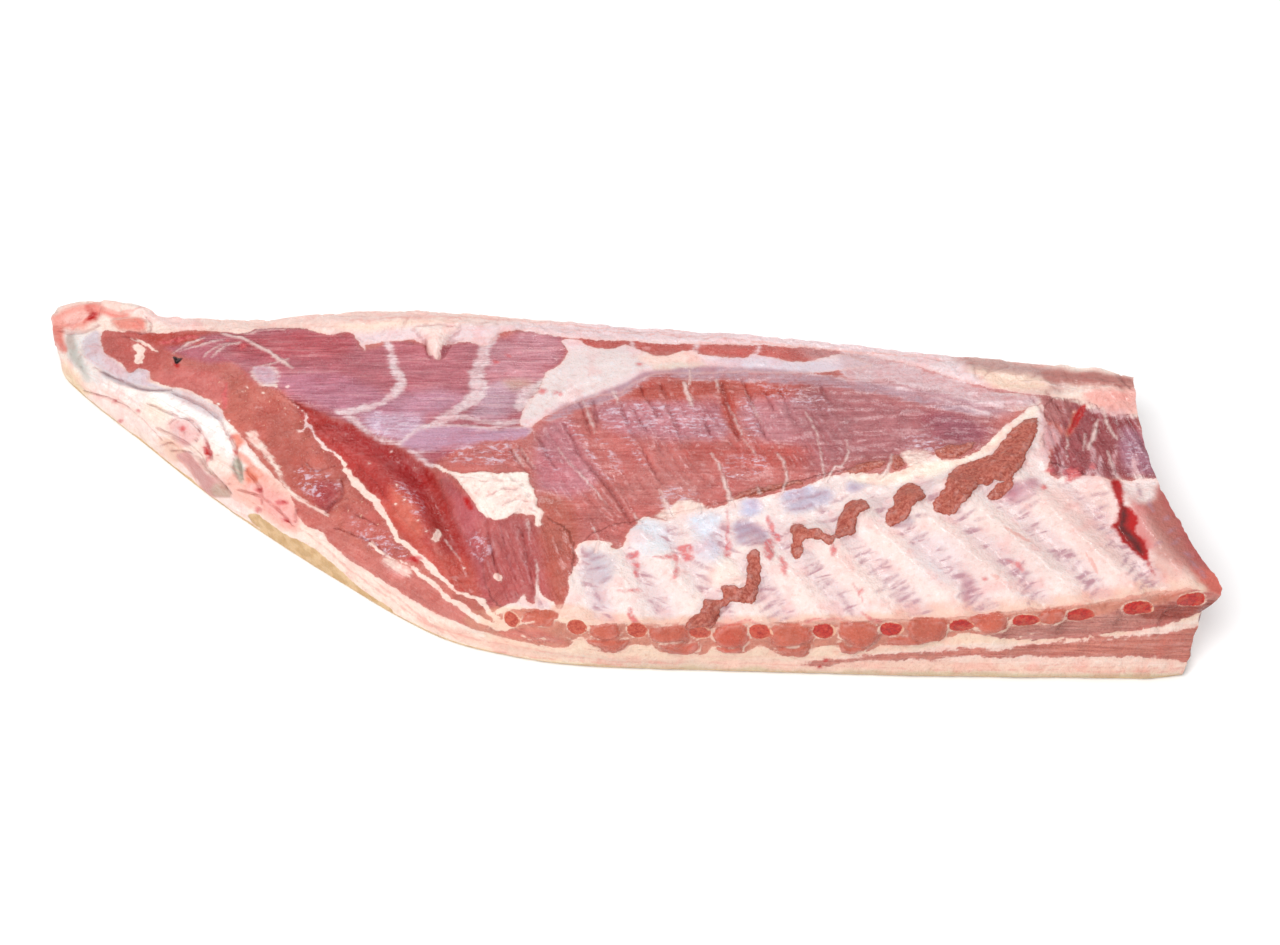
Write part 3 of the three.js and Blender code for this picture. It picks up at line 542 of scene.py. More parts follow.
THREADS = {
    "white line of the belly wall": (
        "222,334 240,338 256,345 270,353 280,360 293,368", [1.4, 2.4, 2.2, 2.6, 3.4, 1]),
    "first streak by the hole": ("172,354 188,344 205,338", [1, 2, 1]),
    "second streak by the hole": ("180,351 200,345 222,340", [0.5, 1, 0.6]),
    "third streak by the hole": ("212,357 225,346 240,343", [0.7, 1.5, 0.8]),
    "fourth streak by the hole": ("204,356 216,347 228,343", [0.5, 0.9, 0.5]),
    "line by the rim": ("246,334 262,330 285,330", [0.7, 1.1, 0.6]),
    "lower line": ("262,366 276,363 288,359", [0.6, 1.2, 0.6]),
    "hanging thread": ("684,383 687,392 690,400 692,406", [2, 3, 2.6, 1.6]),
    "its upper end": ("690,370 689,384", [1, 1.2]),
    "second hanging thread": ("716,381 718,387 720,392", [1.6, 2.2, 1]),
    "third hanging thread": ("612,390 617,398 618,404", [2, 1.4, 0.6]),
    "nerve": ("711,453 718,463 722,473 728,494 732,506", [0.6, 1.1, 1.9, 2.6, 4.5]),
    "second nerve": ("660,490 664,500 670,518", [1.2, 2, 3.4]),
    "third nerve": ("777,453 783,462 787,476 785,486 780,496", [1, 1.6, 1.8, 1.4, 1.2]),
    "long nerve": ("806,412 815,430 820,448 823,470 825,484", [0.6, 1, 0.9, 0.8]),
    "nerve by the stubs": ("827,482 834,467 842,466 848,452 846,440", [2, 1.6, 1.2, 0.9, 0.5]),
    "last nerve": ("891,455 890,461 887,470 880,478", [1.2, 2.2, 2.6, 3]),
    "thread on the first fold": ("558,448 572,466 590,485 606,505", [0.6, 1.1, 1, 0.5]),
    "fold's bright edge": ("583,402 588,415 595,432", [0.8, 1.5, 0.6]),
    "threads left of the folds": ("521,448 528,460 536,468", [0.6, 1.2, 0.6]),
    "second of them": ("511,447 519,460 525,466", [0.5, 1, 0.5]),
    # the lit edges of two wrinkles beside their dark creases: painted highlights, drawn with the threads
    "edge of the third wrinkle": ("727,402 735,420 742,436", [0.6, 1.2, 0.5]),
    "edge of the fourth wrinkle": ("745,390 754,408 762,424", [0.5, 1, 0.5]),
    "frayed edge": (
        "596,552 598,540 594,528; 640,524 634,514; 760,494 756,484; 700,512 698,500", [2.6, 1.4, 0.5]),
    "thread by the first stub": ("741,437 752,450 758,462", [0.5, 0.9, 0.5]),
    "thread of the seam": ("444,540 452,550 460,560", [0.5, 0.8, 0.5]),
    "tendon at the folds' foot": ("537,560 537,580 536,600", [0.6, 1.4, 2.4]),
    "second tendon": ("527,520 530,540", [1.2, 0.5]),
    "shoulder thread": ("1098,420 1094,434 1088,449", [1.6, 2.8, 1.6]),
    "second shoulder thread": ("1102,407 1109,428 1117,439", [1.4, 2, 1]),
    "third shoulder thread": ("1067,438 1067,457", [1.2, 0.9]),
    "fourth shoulder thread": ("1107,452 1111,463 1114,474", [0.8, 1.3, 1.3]),
    "fifth shoulder thread": ("1085,434 1084,450", [1, 0.8]),
    "upper thread of the shoulder": ("1010,384 1035,382 1060,388 1085,392", [0.6, 1.4, 0.6]),
}
FILM = {
    "grey strip": (
        "545,420 556,410 575,402 600,393 622,386 645,373 690,368 740,370 800,374 850,380 900,388 950,402 "
        "990,415 950,410 900,398 850,389 800,385 740,380 700,379 660,377 640,384 620,396 590,405 565,416"),
    "mauve strip": "400,441 420,433 440,424 470,426 500,430 530,426 522,438 480,440 446,446 425,452",
    "fascia line": (
        "388,344 392,360 398,375 401,383 394,393 385,401 370,407 350,412 338,413",
        [4.5, 3.6, 5, 6, 5.5, 5, 5, 6, 3]),
    "fascia along the edge": (
        "345,412 362,428 378,437 398,443 413,450 424,460 433,467", [4.5, 3, 3, 2.6, 2.6, 2]),
    "second fascia line": (
        "492,338 485,350 483,362 478,372 478,388 473,398 461,408 448,416 432,425 415,435 398,443",
        [7, 6, 7.5, 9, 10, 9, 7.5, 6.5, 5.5, 4.5, 3.5]),
    "belly wall's lower border": ("436,421 460,418 480,421 500,424 520,421", [2, 3, 3.4, 3, 3]),
    "ends of the far muscles": (
        "632,340 636,352; 698,343 694,356; 759,343 757,354; 848,350 842,364", [1.2, 2.4]),
    "pale patch": "252,370 262,366 275,370 277,380 268,385 258,382",
    "spread by the mauve block": "520,392 532,384 545,380 540,392 528,402 520,412 512,408",
    "membrane's broad end": "249,434 255,431 263,442 264,452 256,447",
    "membrane": ("262,447 277,471 290,492 307,504 326,514", [4, 2.4, 2, 1.2, 0.8]),
    "over the edge muscle": "385,556 395,560 411,570 408,577 395,573 386,564",
    "at the shoulder": "1031,430 1045,426 1060,430 1060,440 1048,450 1036,446",
    "tatters over the last nerve": "902,453 920,450 934,456 926,464 908,466",
    "strands of the shoulder": (
        "1062,480 1063,466 1060,452; 1087,478 1092,462 1090,448; 1099,482 1097,470 1101,458; 1117,482 "
        "1113,468 1116,452; 1141,484 1134,468 1136,456", [5.5, 3, 0.8]),
    "shoulder's upper edge": ("1056,398 1080,402 1100,409 1120,416 1137,415", [2, 4, 6, 5, 4]),
    "far end of the long muscle": (
        "846,350 900,364 950,378 1000,392 1038,396 1030,408 1000,408 950,396 900,384 846,378"),
    "foot of the lining": "655,516 668,508 690,500 706,508 690,514 670,520",
}
# smooth and closed, over the far ends of the ribs
BAND = {
    "band": (
        "562,341 568,352 560,364 546,373 538,392 528,402 521,416 520,425 530,427 541,419 556,412 575,403 "
        "600,396 622,393 633,384 648,377 662,374 700,374 740,372 800,373 840,370 872,366 855,357 840,354 "
        "800,362 755,354 745,358 700,354 690,350 660,356 640,350 625,345 610,349 590,346 575,339"),
}
# Where glints and sheen are painted on the muscle as highlights, in short light dashes
SHEEN = {
    "wrinkled sheen": "598,408 620,402 660,404 700,410 726,418 724,436 700,438 660,430 610,432",
    "sheen beside it": "738,402 752,400 762,420 758,438 742,436",
    "upper sheen": "760,384 800,390 830,402 826,412 790,404 764,394",
    "left sheen": "442,452 470,444 512,444 516,462 480,464 448,462",
    "lilac sheen": "352,424 366,412 400,414 420,418 420,434 400,441 376,436",
    "right half": "905,438 930,436 950,446 946,455 925,452 908,450",
    "shoulder": "1124,446 1140,446 1150,462 1144,472 1130,466",
    "fold's crest": ("566,416 576,432 588,452 600,468 612,482", [7, 5, 4, 4, 3]),
    "second crest": ("543,448 552,460 560,472", [5, 5, 3]),
    "third crest": ("600,440 612,458 618,470", [5, 6, 4]),
    "fourth crest": ("626,440 636,454 644,466", [6, 6, 4]),
    "under the seam": "660,490 690,488 702,502 690,512 664,510",
    "by the nerve": "722,458 760,456 764,472 730,478",
    "flank's glints": "294,468 330,472 340,490 318,500 300,488",
    "low flank's glints": "350,518 384,532 412,556 400,562 370,546",
    "red muscle's glints": "396,480 420,496 424,520 412,512 398,496",
    "low folds": "466,536 480,532 492,546 486,558 470,556",
}
# marks of the muscle that shows through the lining, each a short stroke
STROKES = {
    "under the first stub": (
        "756,592 764,588; 757,602 770,594; 761,611 778,600; 768,618 784,609; 778,622 790,616"),
    "beside the second stub": "812,572 822,566; 822,588 833,580; 838,592 846,604; 846,602 853,616",
    "after the second stub": "856,556 870,550; 859,566 864,558; 869,573 889,561; 884,584 897,575",
    "fifth gap": "891,596 908,586; 897,602 914,593; 906,606 920,599; 876,592 884,588",
    "fourth gap": "961,590 972,580; 965,607 980,595; 958,598 964,592; 975,610 983,603",
    "third gap": "1015,574 1024,562; 1018,584 1027,573; 1023,594 1032,583; 1028,604 1037,592",
    "second gap": (
        "1073,570 1078,562; 1079,580 1085,571; 1084,590 1093,580; 1090,597 1098,588; 1066,560 1071,553"),
    "first gap": (
        "1122,566 1128,557; 1128,574 1134,566; 1134,582 1140,573; 1107,547 1113,541; 1140,590 1145,581"),
    "over the first gap": "1092,495 1108,493; 1096,509 1107,505; 1094,519 1104,515; 1098,530 1106,526",
    "past the stain": (
        "1138,484 1142,497; 1149,500 1153,512; 1155,545 1163,542; 1173,544 1180,538; 1186,552 1194,556"),
    "shoulder's edge": "1196,566 1204,577; 1190,560 1197,570; 1163,520 1170,516; 1168,532 1175,528",
    "between third and fourth stub": (
        "1003,496 1022,487; 1012,505 1034,494; 1020,512 1040,500; 1006,489 1020,481"),
    "by the fourth stub": "957,521 974,510; 975,521 984,518",
    "over the second stub": (
        "790,494 806,490; 784,503 802,498; 792,510 812,505; 806,498 826,492; 832,503 846,496"),
    "under the second stub": "895,527 912,523; 913,516 927,515; 912,540 927,533",
    "in the hatched patch": (
        "734,530 752,524; 736,538 757,530; 742,544 764,536; 738,522 748,518; 748,545 766,541"),
    "feathered": "650,600 662,608; 653,606 658,612; 692,560 704,566; 698,566 712,570; 586,556 596,549",
    "in the left patch": "590,560 605,555; 588,570 606,566; 594,590 601,602; 600,582 611,577",
}
STROKE_WIDTHS = [1.0, 2.6, 1.4]
MAGENTA = {
    "first": "626,553 636,551 638,556 628,559",
    "second": "633,564 639,563 640,576 634,578",
    "third": "677,546 690,544 694,551 682,554",
    "fourth": "680,555 692,554 694,560 684,561",
    "red line": ("726,510 727,530 728,545 728,556", [0.8, 1.2, 2.4, 3.4]),
    "red streak": ("655,557 666,557 673,555 676,566 676,576", [1.6, 3, 2.6, 2.2, 3]),
    "thin red line": ("618,591 630,591 641,590", [0.5, 1.4, 1.2]),
    "red by the loin": ("630,608 633,618 640,628", [2.4, 4.4, 3.2]),
    "red by the stub": ("767,516 772,528 777,540", [2.2, 3.2, 3.2]),
    "dark by the stub": "765,540 773,539 774,550 771,560 765,556",
    "second red by the stub": ("780,556 783,566 785,575", [1.6, 2.8, 2.4]),
    "red under the second stub": ("828,532 831,546 833,554", [1.2, 2.8, 2.8]),
    "third gap": ("1010,560 1018,563 1023,568", [1, 2.6, 2.4]),
    "spots of the shoulder": ("1050,470 1045,487 1072,473 1091,466", 2.4),
    "broad spot of the shoulder": "1062,472 1070,467 1078,471 1078,480 1066,483",
    "specks": ("509,355 495,363 543,391 553,393 560,394 641,364 243,346 228,340 862,590 985,579", 1.7),
    "second pleura line": ("852,584 860,595 864,601", [0.8, 1.6, 0.8]),
    "loin's red edge": ("700,626 715,622 730,624 745,621 760,623", [1, 1.8, 0.8, 1.8, 1]),
    "second red edge": ("806,622 818,619 830,620 846,618", [1.6, 2, 1.2, 0.8]),
    "third red edge": ("862,612 870,619 880,621", [1, 2.2, 1.6]),
    "red under the rim": ("160,342 176,340 190,337 202,341", [1.6, 3.4, 3, 1.4]),
    "drip of the margin": ("204,440 207,452 210,466", [1, 4, 1.6]),
    "spots of the margin": ("182,429 259,489 284,503 286,521 258,510 279,503", 2.2),
    "faint spots of the margin": ("114,401 140,411 120,422 232,438 235,453", 1.6),
    "by the first muscle": ("226,384 225,396 224,408", [1.6, 2.4, 2]),
    "flank speckle": ("412,560 418,558", [5, 4]),
}
BLOOD = {
    "stain": (
        "1111,481 1120,480 1123,490 1123,503 1133,510 1137,519 1136,531 1144,541 1149,558 1144,560 1134,552 "
        "1122,540 1116,529 1111,526 1117,519 1118,505 1114,494"),
    "run of the stain": ("1145,557 1150,566 1155,575", [1.8, 0.9, 0.4]),
    "streak": ("1069,434 1074,424 1079,414 1083,406", [1.6, 4, 5, 3]),
    "hole of the margin": ("206,448 207,453", [2.4, 3.2]),
    "spots of the margin": ("182,429 259,489 284,503 286,521", 0.9),
    "lobe's fold": ("90,322 93,319 96,314", [1.4, 3.4, 2]),
    "spot of the pad": ("466,498 470,508", [3.2, 2.6]),
    "spots under the loin": ("820,667 826,660", 1.4),
    "corner of the flank": ("414,558 417,563", [3, 2]),
    "mark in the ninth gap": ("826,626 824,634", [2.4, 1.6]),
    "below the hole": ("176,364 178,366", [3, 2]),
}
STAIN_CORE = ("1122,504 1124,514 1122,526 1130,536 1138,547 1142,553", [1.0, 4.5, 4.5, 5.0, 5.0, 1.5])
STUBS = {
    "first": (
        "687,628 690,619 698,614 702,607 706,600 718,600 724,597 722,588 732,586 742,588 746,575 748,555 "
        "753,550 759,553 760,568 758,585 755,600 745,603 733,600 724,606 714,622 706,632"),
    "second": (
        "790,530 796,523 804,524 812,529 824,531 832,538 838,530 841,516 844,505 855,501 866,503 869,510 "
        "860,514 858,522 857,532 848,537 838,541 828,546 822,540 808,537 804,545 802,556 795,560 790,552 "
        "794,540"),
    "third": (
        "885,522 886,512 894,505 893,496 901,486 910,483 921,486 925,497 916,502 910,506 906,519 896,525 "
        "889,527"),
    "fourth": (
        "933,512 934,500 944,489 948,475 960,466 975,461 990,455 998,447 1005,440 1015,428 1025,421 1036,420 "
        "1037,432 1030,448 1023,464 1014,474 1010,482 995,481 986,487 979,485 974,491 968,498 961,504 "
        "956,511 946,515"),
    "scrap by the fourth": "986,496 993,487 1003,482 1013,482 1012,489 1000,496 990,499",
    "under the last nerve": "846,470 860,465 880,460 886,463 872,470 854,474",
    "past the last nerve": "893,458 900,456 902,465 896,471 891,466",
    "by the shoulder's edge": "934,450 944,447 958,444 974,443 966,452 950,459 940,458",
    "along the lining": ("736,500 748,494 770,488 800,482", [2, 5, 4.6, 2]),
}
# Holes: their dark inside is painted shade, and they are sunk into the surface
SHADED_OPENINGS = {
    "hole in the flank": ("174,358 177,361 181,359", [2.6, 4.8, 2.4]),
}
# Dark lines painted as shade in creases, folds and gaps, which are also sunk into the surface
CREASES = {
    "behind the tip lobe": ("62,333 76,334 90,331 98,325", [1.6, 2.6, 2]),
    "under the film": ("95,368 108,375 123,381 136,388 151,391 172,389", [1, 1.6, 1.8, 2.2, 1.6]),
    "first shred": ("124,336 130,338 140,342", [1.6, 1.2, 0.6]),
    "right of the second lobe": ("147,317 152,324 149,331 140,334", [0.8, 1.2, 1.2, 0.8]),
    "flank muscle's lower edge": ("342,478 343,490 340,498 330,506 326,513", [1, 2.2, 2.2, 1.8]),
    "across the flank muscle": ("306,462 314,470 324,468 334,466", [0.6, 1.1, 0.6]),
    "second across it": ("336,528 352,534 372,542 386,554", [1, 1.2, 1.4]),
    "third across it": ("356,515 368,520 376,526", [1.2, 1, 0.5]),
    "by the drip": ("424,342 427,351 431,358", [1.4, 1.6]),
    "by the drip, right": ("441,358 447,349 454,341 462,340", [2.4, 1.8, 1]),
    "main fold": ("565,424 573,440 582,456 594,470 607,484 618,500 630,522", [1.4, 2.4, 2.6, 2.8, 2, 1.6]),
    "left of the bright edge": ("580,402 585,416 591,432", [1.2, 1.8, 0.8]),
    "right of it": ("593,402 596,416 597,428", [3, 2.4, 0.8]),
    "left folds": (
        "509,446 517,460 527,470; 537,432 545,450 556,468; 519,446 525,458 533,468", [0.9, 1.9, 1]),
    "middle folds": (
        "642,450 652,468 662,484; 655,438 664,456; 668,405 676,425 683,442; 634,410 648,432", [0.9, 1.9, 1]),
    "upper folds": (
        "620,400 626,420 632,436; 648,398 658,416; 660,384 668,398; 640,384 644,396", [0.9, 1.9, 1]),
    "first wrinkle": ("722,384 727,402 733,422 739,442", [1.8, 3.4, 2.6, 1.2]),
    "second wrinkle": ("743,380 752,403 760,424 768,440", [1.2, 2.2, 1.8, 1]),
    "right folds": (
        "780,390 788,408 796,424; 704,414 711,436; 766,392 774,410; 820,384 830,402", [0.9, 1.9, 1]),
    "low folds": (
        "500,524 505,548 516,580; 486,520 490,548 498,580; 522,528 527,560 534,590", [0.5, 1.4, 0.6]),
    "under the stubs": ("700,632 716,618 730,604", [0.8, 1.2, 0.6]),
    "in the fat pad": (
        "452,477 470,478 488,483; 492,494 505,488 520,489; 502,506 515,500 530,503", [0.4, 0.9, 0.4]),
    "shoulder": ("1046,392 1056,404 1064,414", [0.8, 1.6, 0.8]),
    "second of the shoulder": ("1032,398 1042,410 1050,420", [0.6, 1.2, 0.6]),
    "edge of the shoulder": ("1120,376 1126,384 1132,391", [1.4, 1.2]),
    "grey-green gap": ("235,455 233,468 242,482", [1.2, 2, 1]),
    "over the flap": ("170,452 182,451 192,453 204,466 220,480 232,493", [1.4, 1.2, 1.6, 1, 1.2]),
    "folds of the corner": ("160,447 170,443 180,449", [0.6, 1.2, 0.6]),
    "corner's dark line": ("297,510 295,522", [1.2, 1]),
    "ring in the margin": ("168,424 176,418 190,419 200,428 196,442", [0.6, 1, 0.8, 0.6]),
}
MARGIN_FOLDS = {
    "over the ring": ("150,405 172,414 190,420 204,436 212,460", [0.6, 1.4, 1.4, 0.8]),
    "under the ring": ("158,428 176,438 192,448 208,468 226,488", [0.8, 1.6, 1.8, 1]),
    "inner": ("172,392 196,402 214,414 226,432 236,450 243,480", [0.8, 1.4, 1.6, 1.2]),
    "outer": ("84,392 110,400 140,418 160,440", [0.5, 1, 0.6]),
    "corner": ("240,490 262,497 280,512 292,526", [0.8, 1.4, 0.8]),
    "second of the corner": ("246,470 258,484 262,504", [1, 1.8, 1]),
}
RIND = (
    "248,516 259,515 282,533 304,543 321,554 342,571 361,589 382,602 396,616 380,618 340,600 300,565 262,532")
OUTER_LEAN = (
    "804,661 860,656 900,654 960,649 1006,648 1045,643 1090,638 1117,638 1155,634 1190,627 1203,624 1216,622 "
    "1212,645 1196,657 1190,662 1155,658 1084,656 1013,657 960,656 925,659 870,661 820,664")
PINK_LINES = {
    "in the flank fat": (
        "380,586 400,600 420,616 442,629 480,640 541,651 600,660 680,664", [0.8, 1.6, 1.4, 1.2, 0.8]),
    "second in it": ("300,528 330,552 360,578 392,600 424,622 470,644", [0.6, 1, 1.2, 0.8]),
    "third in it": ("440,640 480,650 540,658 620,665", [0.5, 0.9, 0.5]),
    "in the loin fat": ("640,661 760,664 860,667 960,671 1030,669 1100,672 1190,672", [0.5, 0.9, 1.1, 1]),
    "second in the loin fat": ("900,663 1010,664 1130,668 1190,668", [0.4, 0.9, 0.7]),
    "far rim": ("350,321 440,318 520,322 600,329 700,338", [0.6, 1.2, 0.9, 0.6]),
    "second of the far rim": ("560,330 650,336 760,343 850,352 940,360", [0.5, 0.9, 0.9, 0.4]),
    "tip": ("94,304 110,311 125,312 150,308", [2.2, 2.6, 1.2, 0.8]),
    "over the ribs": (
        "1004,527 1018,535 1030,542; 1085,552 1092,562 1098,574; 990,574 1002,580", [1, 3.4, 1]),
    "flap's edge": ("176,456 186,468 198,484 212,497", [0.8, 1.2, 1.2, 0.8]),
}

ROW_TOP = (
    "560,604 640,616 760,616 900,612 1010,604 1190,580 1190,592 1010,614 900,622 760,626 640,626 560,616")

# Colours laid over each other: what it is, sRGB colour, how soft the edge is in millimetres, outline
MEAT = (196, 112, 103)
MEAT_AREAS = [
    ("flank", (198, 113, 101), 3,
     "225,379 289,398 310,420 340,459 379,506 413,549 476,600 540,640 480,640 380,590 290,510 220,420 "
     "200,395"),
    ("outer flank muscle", (206, 120, 110), 2.5,
     "290,494 326,514 345,535 383,560 421,578 475,616 520,634 520,650 440,640 350,580 290,520"),
    ("pink of the edge muscle", (222, 144, 138), 3, "386,560 406,568 404,578 390,574"),
    ("flank muscle", (190, 103, 92), 2,
     "262,446 252,420 262,400 290,405 318,440 340,462 343,490 326,512 307,503 289,490 275,470"),
    ("dark of the flank", (176, 92, 84), 5, "300,408 330,440 372,500 400,540 388,530 350,486 318,446"),
    ("flank muscle's red end", (176, 80, 80), 4, "318,480 336,482 340,496 326,510 312,500"),
    ("second flank muscle", (192, 106, 98), 3,
     "348,504 372,512 392,530 412,552 404,562 376,548 350,534 340,520"),
    ("pink of the first muscle", (208, 118, 112), 4, "160,370 200,368 222,378 224,404 190,390 160,384"),
    ("tip muscle", (193, 103, 96), 3, "101,332 150,334 170,350 160,368 128,372 110,356"),
    ("violet by the hole", (188, 108, 120), 3, "166,346 196,340 232,340 240,356 210,362 180,354"),
    ("red under the rim", (190, 84, 74), 3, "146,334 193,331 225,334 214,340 180,346 158,344"),
    ("belly wall", (192, 112, 122), 3,
     "196,338 225,332 243,333 262,328 299,328 326,335 354,334 364,349 401,341 424,344 434,358 446,344 "
     "493,341 524,331 562,338 562,360 534,394 521,426 500,436 460,448 434,466 424,465 395,443 371,434 "
     "350,424 326,414 307,409 289,398 277,390 252,381 240,366"),
    ("violet of the belly wall", (200, 134, 152), 6,
     "270,380 330,372 380,392 400,408 390,424 362,420 326,408"),
    ("rose of the belly wall", (198, 120, 130), 6, "400,350 470,350 474,384 440,396 410,390 404,364"),
    ("pale of the belly wall", (204, 150, 168), 6, "395,392 460,392 462,406 420,418 392,412"),
    ("red of the belly wall", (190, 94, 102), 6, "235,340 262,336 300,332 350,338 345,356 290,356 240,356"),
    # the belly wall's lilac, lightened and blued as its painted sheen
    ("lilac of the belly wall, with its sheen painted in", (212, 176, 196), 5, "362,418 380,412 420,416 422,430 400,440 376,434"),
    ("second lilac", (206, 166, 184), 4, "400,441 420,432 450,430 452,440 420,450"),
    ("mauve block", (208, 146, 156), 4, "493,345 520,333 556,338 556,360 540,380 505,384 485,375"),
    ("grey of the mauve block", (206, 164, 178), 4, "486,386 530,380 520,404 500,420 470,414 480,400"),
    ("ochre patch", (216, 178, 168), 4, "505,381 528,380 532,388 514,390"),
    ("strip under the fascia", (202, 146, 162), 3,
     "420,438 520,430 540,416 580,402 620,392 640,380 630,392 560,416 520,440 460,448 430,450"),
    ("inner flank muscle", (182, 68, 64), 2,
     "296,402 326,415 371,436 424,467 440,492 434,520 430,540 446,575 475,598 450,586 424,558 389,520 "
     "356,476 328,448 308,424"),
    # the muscle's deep red, darkened further as painted shade in the groove and hollow under the belly wall's
    # edge
    ("deep red and painted shade under the belly wall's edge", (166, 52, 52), 5,
     "330,424 390,446 422,470 430,500 424,520 412,500 380,462"),
    ("low end of the inner flank muscle", (198, 90, 78), 5,
     "372,496 400,510 430,550 462,590 440,574 400,534"),
    ("orange of the low end", (212, 112, 96), 5, "390,486 410,500 424,530 416,536 396,512"),
    # the valley's deep red, darkened further as painted shade where the valley is deepest
    ("valley", (166, 58, 54), 4, "428,490 438,486 450,505 464,540 472,570 462,580 446,560 432,530"),
    ("valley's floor", (196, 90, 78), 5, "440,562 462,556 490,576 496,598 470,594"),
    ("wall over the valley", (186, 100, 104), 5, "440,474 470,500 500,524 520,600 490,606 474,570 456,520"),
    ("fleshy wall", (200, 114, 108), 4,
     "434,468 470,448 520,430 540,414 571,400 615,390 644,376 703,372 787,380 853,386 850,470 800,486 "
     "736,502 690,504 640,520 620,544 580,543 576,574 560,608 522,594 505,604 494,608 484,560 500,524 "
     "540,524 548,512 530,472"),
    ("violet of the fleshy wall", (198, 126, 134), 6, "540,430 566,418 582,450 600,480 560,500 536,480"),
    ("mauve of the sheen", (196, 128, 136), 6, "598,404 720,404 730,434 690,440 620,434"),
    ("pale of the fleshy wall", (202, 124, 118), 5, "630,470 690,478 700,500 660,508 636,496"),
    ("red of the fleshy wall", (194, 96, 88), 5, "690,446 840,440 836,462 760,466 700,462"),
    ("red by the wrinkle", (192, 84, 72), 3, "716,384 728,384 738,416 736,436 724,416"),
    ("grey right of the wrinkle", (192, 128, 134), 5, "745,400 850,400 850,436 760,440"),
    ("red folds", (188, 100, 98), 5, "480,520 545,524 570,560 560,600 500,600"),
    ("brown of the folds", (190, 104, 90), 5, "536,500 574,506 574,560 566,606 552,596"),
    ("top of the fleshy wall", (190, 92, 80), 4, "640,384 700,378 760,382 820,388 826,396 760,394 640,398"),
    ("right of the fleshy wall", (176, 108, 112), 12,
     "800,390 853,386 912,398 960,408 995,425 985,445 940,450 900,462 850,464 810,470"),
    ("grey of the far corner", (188, 146, 156), 8, "860,384 920,396 985,415 1010,412 980,400 920,384"),
    ("dark of the shoulder muscle", (160, 90, 102), 7, "925,415 960,415 985,428 975,444 940,440"),
    ("mauve of the shoulder", (160, 78, 82), 3,
     "1040,405 1054,398 1090,402 1134,410 1140,430 1158,480 1136,480 1114,479 1088,475 1064,479 1050,470 "
     "1052,455 1060,440 1066,430 1056,422 1044,420"),
    ("brown of the shoulder", (182, 110, 108), 3, "1027,392 1062,392 1072,402 1064,420 1040,420 1028,408"),
    ("orange by the streak", (222, 150, 120), 2, "1072,412 1077,412 1074,430 1068,436"),
    ("violet edge of the shoulder", (170, 112, 128), 4,
     "1120,430 1138,430 1152,456 1154,476 1128,474 1118,450"),
    ("strips under the far rim", (194, 94, 86), 2,
     "572,339 600,340 700,343 760,344 850,350 840,366 780,360 700,354 640,352 600,350 580,344"),
    ("far end of the strips", (206, 134, 132), 5,
     "806,344 920,358 1010,380 1040,394 1000,396 920,384 822,366"),
    ("loin muscle", (208, 136, 116), 2,
     "470,612 560,606 640,618 760,618 900,614 1010,606 1120,594 1180,586 1180,600 1100,618 1000,634 900,646 "
     "800,657 700,656 560,650 484,640"),
    ("pink above the row", (230, 174, 156), 1.5, ROW_TOP),
    ("red of the eighth gap", (206, 92, 68), 3, "716,632 726,626 744,630 748,640 738,652 722,652"),
    ("brown of the seventh gap", (198, 108, 86), 3, "772,630 790,624 812,632 808,648 786,652"),
    ("long muscle's middle", (212, 126, 112), 2, "500,632 530,630 555,638 566,644 540,642 510,637"),
    ("ragged meat of the loin face", (202, 138, 126), 2.5,
     "966,640 1000,630 1060,622 1110,612 1160,604 1216,596 1218,608 1168,622 1081,636 1000,641"),
    ("upper brown muscle", (170, 86, 74), 2, "1140,610 1170,604 1212,600 1212,609 1190,616 1150,621"),
]
FAT_COLOUR = (248, 224, 212)
